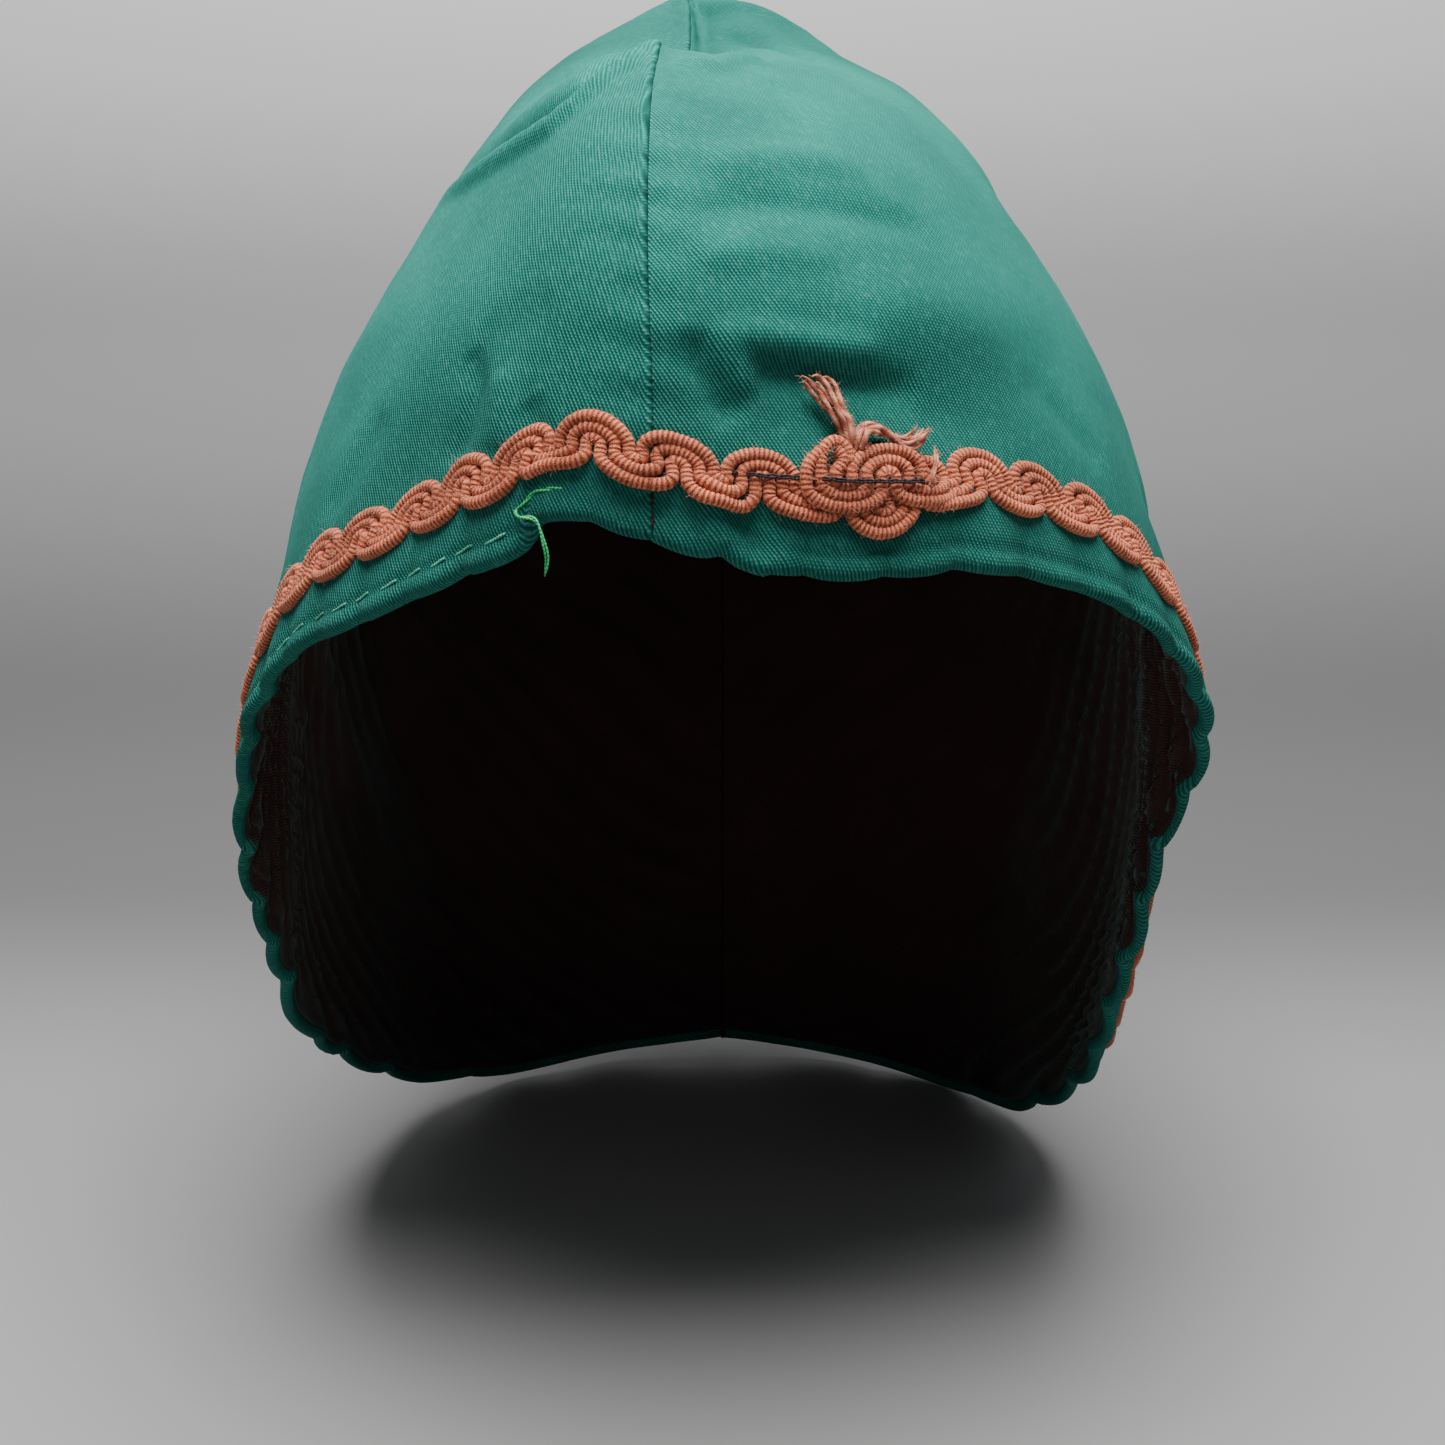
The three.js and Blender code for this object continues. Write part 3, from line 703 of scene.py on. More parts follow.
def carried(grid, cut, move):
    """How the places on the flat cut change for points of the cloth that slide along it."""
    down, across = np.gradient(grid, axis=0), np.gradient(grid, axis=1)
    down_down = (down * down).sum(axis=-1)
    across_across = (across * across).sum(axis=-1)
    down_across = (down * across).sum(axis=-1)
    spread = down_down * across_across - down_across**2 + 1e-16
    move_down = (move * down).sum(axis=-1)
    move_across = (move * across).sum(axis=-1)
    rows = (move_down * across_across - move_across * down_across) / spread
    columns = (move_across * down_down - move_down * down_across) / spread
    change = rows[..., None] * np.gradient(cut, axis=0)
    return change + columns[..., None] * np.gradient(cut, axis=1)


# The seam turns both edges in: they meet in a groove, face to face.
front_seam = (halves[1]["grid"][:, 0] + halves[-1]["grid"][:, 0]) / 2
back_seam = (halves[1]["grid"][:, -1] + halves[-1]["grid"][:, -1]) / 2
for side, half in halves.items():
    grid = half["grid"]
    fade = np.exp(-((half["seam_run"] / SEAM_PUCKER_REACH) ** 2))
    middle = grid.shape[1] // 2
    shift = np.zeros_like(grid)
    shift[:, :middle] = (front_seam - grid[:, 0])[:, None]
    shift[:, middle:] = (back_seam - grid[:, -1])[:, None]
    move = shift * fade[..., None]
    move[0] = 0
    half["cut"] = half["cut"] + carried(grid, half["cut"], move)
    grid = grid + move
    grid[0] = (front_seam[0] + back_seam[0]) / 2
    half["grid"] = grid
    half["normals"] = face_normals(grid, side)
    half["fade"] = fade
for end in (0, -1):
    shared = unit(halves[1]["normals"][:, end] + halves[-1]["normals"][:, end])
    for side, half in halves.items():
        middle = half["grid"].shape[1] // 2
        near = slice(0, middle) if end == 0 else slice(middle, None)
        share = half["fade"][:, near, None] ** 3
        turned = half["normals"][:, near] * (1 - share) + shared[:, None] * share
        half["normals"][:, near] = unit(turned)
for side, half in halves.items():
    grid = half["grid"]
    inward = np.clip(1 - half["seam_run"] / SEAM_ROUND, 0, 1)
    groove = SEAM_DEPTH * (1 - np.sqrt(1 - inward**2))
    ledge = SEAM_LEDGE * np.exp(-((half["seam_run"] / SEAM_LEDGE_REACH) ** 2))
    ledge[0] = groove[0] = 0
    half["edge"] = np.stack((half["seam_run"], half["from_hem"]), axis=-1)
    half["sheet"] = grid - (groove + side * ledge)[..., None] * half["normals"]


def add_node(nodes, kind, inputs=(), **settings):
    """A shader node of that kind with its settings and some plain input values."""
    made = nodes.new(kind)
    for name, value in settings.items():
        setattr(made, name, value)
    for place, value in inputs:
        made.inputs[place].default_value = value
    return made


def math_node(nodes, links, operation, first, second=None, clamp=False):
    """A Math node on two values; each is a number or the output of another node."""
    made = nodes.new("ShaderNodeMath")
    made.operation = operation
    made.use_clamp = clamp
    for place, value in enumerate((first, second)):
        if isinstance(value, bpy.types.NodeSocket):
            links.new(value, made.inputs[place])
        elif value is not None:
            made.inputs[place].default_value = value
    return made.outputs[0]


def new_group(name, inputs, outputs):
    """A shader node group with those named sockets, and its input and output nodes."""
    group = bpy.data.node_groups.new(name, "ShaderNodeTree")
    for label, kind in inputs:
        group.interface.new_socket(name=label, in_out="INPUT", socket_type=kind)
    for label, kind in outputs:
        group.interface.new_socket(name=label, in_out="OUTPUT", socket_type=kind)
    entry = group.nodes.new("NodeGroupInput")
    leaving = group.nodes.new("NodeGroupOutput")
    return group, entry, leaving


# Sizes of the weave: how far its threads wander, in metres, and at what scale, then its ribs,
# the floats along them, the flecks and the uneven patches.
DRIFT_REACH = 0.00028
DRIFT_SCALE = 210.0
RIB_SHARPNESS = 1.5
RIB_STEP = 0.37
FLOAT_DEPTH = 0.25
FLECK_STRETCH = (500.0, 1900.0, 1.0)
PATCH_SCALE = 34.0


def weave_group():
    """Twill or plain weave that follows the cut: its relief and its flecks, both from 0 to 1."""
    value = "NodeSocketFloat"
    group, entry, leaving = new_group(
        "weave",
        (("Cut", "NodeSocketVector"), ("Line Turn", value), ("Pitch", value)),
        (("Relief", value), ("Fleck", value), ("Patch", value)),
    )
    nodes, links = group.nodes, group.links
    drift = add_node(nodes, "ShaderNodeTexNoise", (("Scale", DRIFT_SCALE), ("Detail", 1.0)))
    links.new(entry.outputs["Cut"], drift.inputs["Vector"])
    centred = add_node(nodes, "ShaderNodeVectorMath", operation="SUBTRACT")
    centred.inputs[1].default_value = (0.5, 0.5, 0.5)
    links.new(drift.outputs["Color"], centred.inputs[0])
    small = add_node(nodes, "ShaderNodeVectorMath", operation="SCALE")
    small.inputs["Scale"].default_value = DRIFT_REACH
    links.new(centred.outputs[0], small.inputs[0])
    place = add_node(nodes, "ShaderNodeVectorMath", operation="ADD")
    links.new(entry.outputs["Cut"], place.inputs[0])
    links.new(small.outputs[0], place.inputs[1])
    turned = add_node(nodes, "ShaderNodeVectorRotate", rotation_type="Z_AXIS")
    links.new(place.outputs[0], turned.inputs["Vector"])
    links.new(entry.outputs["Line Turn"], turned.inputs["Angle"])
    apart = nodes.new("ShaderNodeSeparateXYZ")
    links.new(turned.outputs["Vector"], apart.inputs[0])
    across = math_node(nodes, links, "DIVIDE", apart.outputs["Y"], entry.outputs["Pitch"])
    along = math_node(nodes, links, "DIVIDE", apart.outputs["X"], entry.outputs["Pitch"])
    line = math_node(nodes, links, "MULTIPLY", across, 2 * math.pi)
    line = math_node(nodes, links, "COSINE", line)
    line = math_node(nodes, links, "MULTIPLY_ADD", line, 0.5)
    line.node.inputs[2].default_value = 0.5
    line = math_node(nodes, links, "POWER", line, RIB_SHARPNESS)
    row = math_node(nodes, links, "ROUND", across)
    step = math_node(nodes, links, "MULTIPLY", row, RIB_STEP)
    shifted = math_node(nodes, links, "ADD", along, step)
    float_wave = math_node(nodes, links, "MULTIPLY", shifted, 2 * math.pi)
    float_wave = math_node(nodes, links, "COSINE", float_wave)
    floats = math_node(nodes, links, "MULTIPLY_ADD", float_wave, FLOAT_DEPTH)
    floats.node.inputs[2].default_value = 1 - FLOAT_DEPTH
    relief = math_node(nodes, links, "MULTIPLY", line, floats)
    links.new(relief, leaving.inputs["Relief"])
    stretch = add_node(nodes, "ShaderNodeVectorMath", operation="MULTIPLY")
    stretch.inputs[1].default_value = FLECK_STRETCH
    links.new(turned.outputs["Vector"], stretch.inputs[0])
    fleck = add_node(
        nodes, "ShaderNodeTexNoise", (("Scale", 1.0), ("Detail", 3.0), ("Roughness", 0.65))
    )
    links.new(stretch.outputs[0], fleck.inputs["Vector"])
    links.new(fleck.outputs["Fac"], leaving.inputs["Fleck"])
    patch = add_node(nodes, "ShaderNodeTexNoise", (("Scale", PATCH_SCALE), ("Detail", 4.0)))
    links.new(entry.outputs["Cut"], patch.inputs["Vector"])
    links.new(patch.outputs["Fac"], leaving.inputs["Patch"])
    return group


def colour_ramp(nodes, links, source, stops):
    """A colour ramp fed by a value; stops are pairs of a place and a colour."""
    ramp = nodes.new("ShaderNodeValToRGB")
    links.new(source, ramp.inputs["Fac"])
    while len(ramp.color_ramp.elements) < len(stops):
        ramp.color_ramp.elements.new(0.5)
    for element, (place, colour) in zip(ramp.color_ramp.elements, stops):
        element.position = place
        element.color = (*colour, 1.0)
    return ramp.outputs["Color"]


def blend_colours(nodes, links, kind, share, first, second):
    """A Mix node on two colours; each is a colour or the output of another node."""
    mix = add_node(nodes, "ShaderNodeMix", data_type="RGBA", blend_type=kind)
    for socket, value in ((mix.inputs[0], share), (mix.inputs[6], first), (mix.inputs[7], second)):
        if isinstance(value, bpy.types.NodeSocket):
            links.new(value, socket)
        else:
            socket.default_value = value
    return mix.outputs[2]


weave = weave_group()
# The ribs are worn flatter towards the tip, fully at this reach from the hem.
WORN_REACH = 120 * MM
WORN_SHARE = 0.55
WORN_LEVEL = 0.42
RIB_STOPS = (0.05, 0.75)
FLECK_HEIGHT = 0.35
PATCH_SHADES = ((0.32, (0.84, 0.84, 0.84)), (0.68, (1.12, 1.12, 1.12)))
# Painted shade on the cloth, over a reach from the seam, up from the hem, and from front to back.
# The seam is painted dark for its shadow, the cloth is painted darker towards the hem, as shade
# under the light from overhead, and the back is painted darker than the front, as shade behind the
# crest.
SEAM_SHADE_REACH = 1.0 * MM
SEAM_PAINTED_SHADES = ((0.12, 0.22), (0.45, 1.0))
HEM_SHADE_REACH = 75 * MM
HEM_PAINTED_SHADES = ((0.0, 0.66), (0.35, 0.74), (1.0, 1.0))
BACK_SHADE_REACH = 40 * MM
BACK_PAINTED_SHADES = ((0.0, 1.0), (0.8, 0.70))
CLOTH_SPECULAR = 0.08
CLOTH_SHEEN_ROUGHNESS = 0.45
CLOTH_SHEEN_TINT = (0.55, 1.0, 0.90, 1.0)


def cloth_material(
    name, line_turn, pitch, groove, ridge, fleck_colour, fleck_share, depth, rough, sheen
):
    """Woven cotton: ribs with dark grooves, partly painted shade, pale flecks and soft uneven
    patches.
    """
    material, nodes, links, shader = new_material(name)
    cut = add_node(nodes, "ShaderNodeUVMap", uv_map="cut")
    woven = nodes.new("ShaderNodeGroup")
    woven.node_tree = weave
    links.new(cut.outputs["UV"], woven.inputs["Cut"])
    woven.inputs["Line Turn"].default_value = line_turn
    woven.inputs["Pitch"].default_value = pitch
    edge = add_node(nodes, "ShaderNodeUVMap", uv_map="edge")
    from_edges = nodes.new("ShaderNodeSeparateXYZ")
    links.new(edge.outputs["UV"], from_edges.inputs[0])
    worn = math_node(nodes, links, "DIVIDE", from_edges.outputs["Y"], WORN_REACH, clamp=True)
    worn = math_node(nodes, links, "MULTIPLY", worn, WORN_SHARE)
    left = math_node(nodes, links, "SUBTRACT", 1.0, worn)
    relief = math_node(nodes, links, "MULTIPLY", woven.outputs["Relief"], left)
    level = math_node(nodes, links, "MULTIPLY", worn, WORN_LEVEL)
    relief = math_node(nodes, links, "ADD", relief, level)
    base = colour_ramp(nodes, links, relief, tuple(zip(RIB_STOPS, (groove, ridge))))
    spots = math_node(nodes, links, "SUBTRACT", woven.outputs["Fleck"], 0.5)
    spots = math_node(nodes, links, "MULTIPLY", spots, fleck_share, clamp=True)
    base = blend_colours(nodes, links, "MIX", spots, base, (*fleck_colour, 1.0))
    patches = colour_ramp(nodes, links, woven.outputs["Patch"], PATCH_SHADES)
    base = blend_colours(nodes, links, "MULTIPLY", 1.0, base, patches)
    place = nodes.new("ShaderNodeTexCoord")
    position = nodes.new("ShaderNodeSeparateXYZ")
    links.new(place.outputs["Object"], position.inputs[0])
    # Painted shade: darker in the seam, towards the hem and towards the back.
    for source, reach, stops in (
        (from_edges.outputs["X"], SEAM_SHADE_REACH, SEAM_PAINTED_SHADES),
        (from_edges.outputs["Y"], HEM_SHADE_REACH, HEM_PAINTED_SHADES),
        (position.outputs["Y"], BACK_SHADE_REACH, BACK_PAINTED_SHADES),
    ):
        share = math_node(nodes, links, "DIVIDE", source, reach, clamp=True)
        shade = colour_ramp(nodes, links, share, [(at, (grey, grey, grey)) for at, grey in stops])
        base = blend_colours(nodes, links, "MULTIPLY", 1.0, base, shade)
    links.new(base, shader.inputs["Base Color"])
    bump = add_node(nodes, "ShaderNodeBump", (("Strength", 1.0), ("Distance", depth)))
    height = math_node(nodes, links, "MULTIPLY_ADD", woven.outputs["Fleck"], FLECK_HEIGHT)
    links.new(relief, height.node.inputs[2])
    links.new(height, bump.inputs["Height"])
    links.new(bump.outputs["Normal"], shader.inputs["Normal"])
    shader.inputs["Roughness"].default_value = rough
    shader.inputs["Specular IOR Level"].default_value = CLOTH_SPECULAR
    shader.inputs["Sheen Weight"].default_value = sheen
    shader.inputs["Sheen Roughness"].default_value = CLOTH_SHEEN_ROUGHNESS
    shader.inputs["Sheen Tint"].default_value = CLOTH_SHEEN_TINT
    return material


def cloth_panel(name, points, cut, edge, material, thickness):
    """A sheet of cloth points as a panel, with its flat cut, its finish and its thickness."""
    mesh = grid_mesh(name, points, {"cut": cut, "edge": edge}, closed=False)
    made = add_object(name, mesh)
    made.data.materials.append(material)
    thick = made.modifiers.new("thickness", "SOLIDIFY")
    thick.thickness = thickness
    thick.offset = -1.0
    thick.use_even_offset = False
    return made


TWILL_PITCH = 0.63 * MM
# The grooves between the ribs are darker than the ribs, partly in the cloth's own tone and partly
# as painted shade.
SHADED_GROOVE_GREEN = (0.006, 0.092, 0.073)
RIDGE_GREEN = (0.027, 0.315, 0.255)
FLECK_GREEN = (0.17, 0.54, 0.45)
TWILL_SHEEN = 0.02
# Each half's finish: the turn of its ribs in degrees, its flecks, its relief and its roughness.
TWILL_FINISHES = {
    -1: ("green_twill_right_half", 80, 1.3, 0.20 * MM, 0.85),
    1: ("green_twill_left_half", 50, 1.1, 0.24 * MM, 0.82),
}
twill = {
    side: cloth_material(
        name, math.radians(turn), TWILL_PITCH, SHADED_GROOVE_GREEN, RIDGE_GREEN, FLECK_GREEN,
        flecks, depth, rough, TWILL_SHEEN,
    )
    for side, (name, turn, flecks, depth, rough) in TWILL_FINISHES.items()
}
for side, name, node in ((1, "twill_left", "outer_left"), (-1, "twill_right", "outer_right")):
    half = halves[side]
    sheet = half["sheet"]
    normal = half["normals"][-1]
    downward = unit(sheet[-1] - sheet[-2])
    downward = unit(downward - (downward * normal).sum(axis=-1, keepdims=True) * normal)
    cut_down = half["cut"][-1] - half["cut"][-2]
    cut_down /= np.linalg.norm(cut_down, axis=-1, keepdims=True)
    extra, extra_cut, extra_edge = [], [], []
    downhill = np.array((0, -1))
    roll = half["roll"]
    for step in range(1, HEM_ROLL_STEPS + 1):
        angle = math.pi * step / HEM_ROLL_STEPS
        extra.append(
            sheet[-1] + roll * (math.cos(angle) - 1) * normal + roll * math.sin(angle) * downward
        )
        extra_cut.append(half["cut"][-1] + roll * angle * cut_down)
        extra_edge.append(half["edge"][-1] + roll * angle * downhill)
    for rise, tuck in HEM_RETURN:
        extra.append(sheet[-1] - (2 * roll + tuck * MM) * normal - rise * MM * downward)
        extra_cut.append(half["cut"][-1] + (roll * math.pi + rise * MM) * cut_down)
        extra_edge.append(half["edge"][-1] + (roll * math.pi + rise * MM) * downhill)
    sheet = np.concatenate((sheet, np.array(extra)))
    cut = np.concatenate((half["cut"], np.array(extra_cut)))
    edge = np.concatenate((half["edge"], np.array(extra_edge)))
    if side < 0:
        sheet, cut, edge = sheet[:, ::-1], cut[:, ::-1], edge[:, ::-1]
    panel = cloth_panel(name, sheet, cut, edge, twill[side], TWILL_THICK)
    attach(panel, "root")
    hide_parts(node)
    wide, long, area = TWILL_CUTS[side]


# Lining, left and right.
# Thin dark brown cloth cut like the outer halves and sewn in under the turned hem. It hangs a
# little slack inside the crown, in soft folds that run down towards the hem.
LINING_CUTS = {1: (0.378, 0.235, 0.0640), -1: (0.358, 0.239, 0.0590)}
LINING_DEPTH = 1.75 * MM
LINING_HEM_REACH = 8 * MM
LINING_THICK = 0.5 * MM
LINING_FROM_HEM = 1.4 * MM
LINING_FLAT_FROM_HEM = 2.5 * MM
LINING_SEAM_REACH = 9 * MM
LINING_FOLD_PITCH = 15 * MM
LINING_FOLD = 3.6 * MM
LINING_FOLD_LEAN = 1.1
LINING_FOLD_SHARPNESS = 2.2
LINING_FOLD_DRIFT = 3.2
LINING_FOLD_DRIFT_SIZE = 60 * MM
LINING_FOLD_SHARE = 0.55
LINING_FOLD_UNEVEN = 0.45
LINING_UNEVEN_SIZE = 45 * MM
LINING_PITCH = 0.55 * MM
LINING_RELIEF = 0.08 * MM
LINING_FLECKS = 0.6
LINING_ROUGHNESS = 0.85
LINING_SHEEN = 0.20
# The grooves between the ribs are darker than the ribs, partly in the cloth's own tone and partly
# as painted shade.
SHADED_GROOVE_BROWN = (0.026, 0.0115, 0.0105)
RIDGE_BROWN = (0.078, 0.036, 0.033)
FLECK_BROWN = (0.13, 0.07, 0.064)

lining_cloth = cloth_material(
    "brown_lining", math.radians(90), LINING_PITCH, SHADED_GROOVE_BROWN, RIDGE_BROWN, FLECK_BROWN,
    LINING_FLECKS, LINING_RELIEF, LINING_ROUGHNESS, LINING_SHEEN,
)
for side, name, node in (
    (1, "lining_left_cloth", "lining_left"),
    (-1, "lining_right_cloth", "lining_right"),
):
    half = halves[side]
    grid = half["grid"]
    low = half["from_hem"].mean(axis=1)
    rows = np.flatnonzero(low > LINING_FROM_HEM)
    steps = np.linalg.norm(np.diff(grid[-1], axis=0), axis=-1)
    run = np.concatenate(([0], np.cumsum(steps)))
    slant = run[None, :] + LINING_FOLD_LEAN * half["from_hem"]
    drift = LINING_FOLD_DRIFT * smooth_lumps(grid, LINING_FOLD_DRIFT_SIZE, seed=21.0)
    ripple = 1 - np.abs(np.sin(math.pi * slant / LINING_FOLD_PITCH + drift))
    fade = np.clip((half["from_hem"] - LINING_FLAT_FROM_HEM) / LINING_HEM_REACH, 0, 1)
    fade *= np.clip(half["seam_run"] / LINING_SEAM_REACH, 0, 1)
    uneven = smooth_lumps(grid, LINING_UNEVEN_SIZE, seed=33.0)
    strength = LINING_FOLD_SHARE + LINING_FOLD_UNEVEN * uneven
    hem_share = np.exp(-half["from_hem"] / LINING_HEM_REACH)
    depth = LINING_DEPTH + (2 * half["roll"].T - LINING_DEPTH) * hem_share
    depth = depth + LINING_FOLD * ripple**LINING_FOLD_SHARPNESS * fade * strength
    inner = grid - depth[..., None] * half["normals"]
    inner, cut, edge = inner[rows], half["cut"][rows], half["edge"][rows]
    if side > 0:
        inner, cut, edge = inner[:, ::-1], cut[:, ::-1], edge[:, ::-1]
    panel = cloth_panel(name, inner, cut, edge, lining_cloth, LINING_THICK)
    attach(panel, "root")
    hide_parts(node)
    wide, long, area = LINING_CUTS[side]


# Scroll gimp braid.
# Three cords of wrapped rust-coloured cotton lie side by side and turn back and forth together,
# so that they make round scallops on both edges. The strip is machine sewn once round the hem.
BRAID_MIDDLE = 15.4 * MM
SCALLOP_PITCH = 14 * MM
CORD_RADIUS = 1.13 * MM
WRAP_PITCH = 0.84 * MM
WRAP_RELIEF = 0.065
WRAP_UNEVEN = 0.07
CORD_SIDES = 10
FIRST_SCALLOP = 4.8 * MM
# The turns of each cord, from the outer one in: half its width, its height and its roundness.
UPPER_TURNS = ((5.83, 4.5, 3.6), (3.55, 2.7, 2.2), (1.2, 0.95, 0.9))
LOWER_TURNS = ((5.83, 4.5, 2.5), (3.55, 2.8, 1.8), (1.2, 1.2, 0.9))
TURN_STEPS = 22
CORD_SEAT = 0.8
OUTER_TURN_RISE = 0.3
OUTER_TURN_UP = 5.5 * MM
LOWER_EDGE_LIFT = 0.5 * MM
LOWER_EDGE_DOWN = 4.9 * MM
# How unlike the scallops are: slide along the strip in mm, height, and lean.
SWAY_SLIDE = 0.45
SWAY_TALL = (0.94, 1.03)
SWAY_LEAN = 0.16
# The strip hangs a little lower at the front seam and at the lap.
FRONT_DROOP = 2.4 * MM
FRONT_DROOP_AT = 2 * MM
FRONT_DROOP_REACH = 26 * MM
LAP_DROOP = 4.2 * MM
LAP_DROOP_AT = 39.5 * MM
LAP_DROOP_REACH = 9.5 * MM
BED_STEP = 0.5 * MM
BED_TOP = 52 * MM


def sewing_bed():
    """The outer face near the hem, from the nape round the front to the nape, at even heights."""
    heights = np.arange(0.0, BED_TOP, BED_STEP)
    points = []
    for side in (-1, 1):
        half = halves[side]
        columns = half["grid"].shape[1]
        sheet = np.empty((len(heights), columns, 3))
        for column in range(columns):
            up = half["from_hem"][::-1, column]
            for axis in range(3):
                sheet[:, column, axis] = np.interp(heights, up, half["grid"][::-1, column, axis])
        points.append(sheet[:, ::-1] if side < 0 else sheet[:, 1:])
    seam_column = points[0].shape[1] - 1
    bed = np.concatenate(points, axis=1)
    for turn in range(2):
        bed[:, 1:-1] = (bed[:, :-2] + 2 * bed[:, 1:-1] + bed[:, 2:]) / 4
    middle = round(BRAID_MIDDLE / BED_STEP)
    run = np.concatenate(([0], np.cumsum(np.linalg.norm(np.diff(bed[middle], axis=0), axis=-1))))
    normals = unit(np.cross(np.gradient(bed, axis=1), np.gradient(bed, axis=0)))
    return bed, normals, run - run[seam_column]


bed, bed_normals, bed_run = sewing_bed()
hem_round = bed_run[-1] - bed_run[0]


def on_cloth(along, from_hem, lift=0.0):
    """Points and normals over the cloth, by the way along the braid and up from the hem."""
    along = np.asarray(along, float)
    along = (along - bed_run[0]) % hem_round + bed_run[0]
    column = np.clip(np.interp(along, bed_run, np.arange(len(bed_run))), 0, len(bed_run) - 1.001)
    row = np.clip(np.asarray(from_hem, float) / BED_STEP, 0, len(bed) - 1.001)
    c, r = column.astype(int), row.astype(int)
    part, up = (column - c)[:, None], (row - r)[:, None]

    def read(sheet):
        low = sheet[r, c] * (1 - part) + sheet[r, c + 1] * part
        high = sheet[r + 1, c] * (1 - part) + sheet[r + 1, c + 1] * part
        return low * (1 - up) + high * up

    normal = unit(read(bed_normals))
    return read(bed) + np.asarray(lift, float).reshape(-1, 1) * normal, normal


def cord_tube(name, centres, normals, radii, sides, loop=False):
    """A round cord along a line of points; its UV runs round it and, in metres, along it."""
    if not loop:
        centres = np.concatenate((centres[:1], centres, centres[-1:]))
        normals = np.concatenate((normals[:1], normals, normals[-1:]))
        radii = np.concatenate(([0.0], radii, [0.0]))
    forward = np.gradient(centres, axis=0)
    if loop:
        forward[0] = forward[-1] = centres[1] - centres[-2]
    else:
        forward[0], forward[-1] = forward[1], forward[-2]
    forward = unit(forward)
    aside = unit(np.cross(normals, forward))
    above = np.cross(forward, aside)
    angles = np.linspace(0, 2 * math.pi, sides + 1)
    ring = np.cos(angles)[None, :, None] * aside[:, None]
    ring = ring + np.sin(angles)[None, :, None] * above[:, None]
    points = centres[:, None] + radii[:, None, None] * ring
    points[:, -1] = points[:, 0]
    if loop:
        points[-1] = points[0]
    run = np.concatenate(([0], np.cumsum(np.linalg.norm(np.diff(centres, axis=0), axis=-1))))
    marks = np.empty(points.shape[:2] + (2,))
    marks[..., 0] = np.linspace(0, 1, sides + 1)[None]
    marks[..., 1] = run[:, None]
    return grid_mesh(name, points, {"cut": marks})


def even_steps(along, from_hem, lift, step):
    """The same line over the cloth, with its points a real step apart."""
    dense, _ = on_cloth(along, from_hem, lift)
    run = np.concatenate(([0], np.cumsum(np.linalg.norm(np.diff(dense, axis=0), axis=-1))))
    places = np.linspace(0, run[-1], max(4, 2 * round(run[-1] / step / 2)) + 1)
    return [np.interp(places, run, values) for values in (along, from_hem, lift)]


def wrapped_radii(count):
    """Radii along a wrapped cord, whose yarn stands up in uneven turns of three points each."""
    turn = np.arange(count)
    uneven = np.array([noise.noise(Vector((number * 0.71, 4.2, 1.3))) for number in turn // 3])
    relief = WRAP_RELIEF * np.where(turn % 3 == 2, -1.0, 0.6)
    return CORD_RADIUS * (1 + relief + WRAP_UNEVEN * uneven)


def scroll_line(cord, start, scallops, pitch):
    """One cord's way over whole scallops, in metres: along the strip, and up from its middle."""
    turn = np.linspace(math.pi, 0, TURN_STEPS)
    along, up = [], []
    wide = pitch / SCALLOP_PITCH
    for scallop in range(scallops):
        reach, top, rise = (value * MM for value in UPPER_TURNS[cord])
        centre = start + scallop * pitch
        along.append(centre + reach * wide * np.cos(turn))
        up.append(top - rise + rise * np.sin(turn))
        reach, top, rise = (value * MM for value in LOWER_TURNS[2 - cord])
        centre += pitch / 2
        along.append(centre + reach * wide * np.cos(turn))
        up.append(rise - top - rise * np.sin(turn))
    return np.concatenate(along), np.concatenate(up)


# The look of cotton yarn: its fibres and its turns, from painted shade between the turns to pale,
# and its uneven dyeing.
FIBRE_SCALE = 3800.0
FIBRE_SHARE = 0.85
TURN_SHARE = 0.42
YARN_STOPS = (0.28, 0.60, 0.95)
YARN_PATCH_SCALE = 150.0
YARN_PATCH_SHADES = ((0.3, (0.66, 0.62, 0.62)), (0.7, (1.20, 1.16, 1.12)))
YARN_SPECULAR = 0.2
YARN_SHEEN = 0.12
YARN_SHEEN_ROUGHNESS = 0.4
YARN_SHEEN_TINT = (1.0, 0.82, 0.72, 1.0)


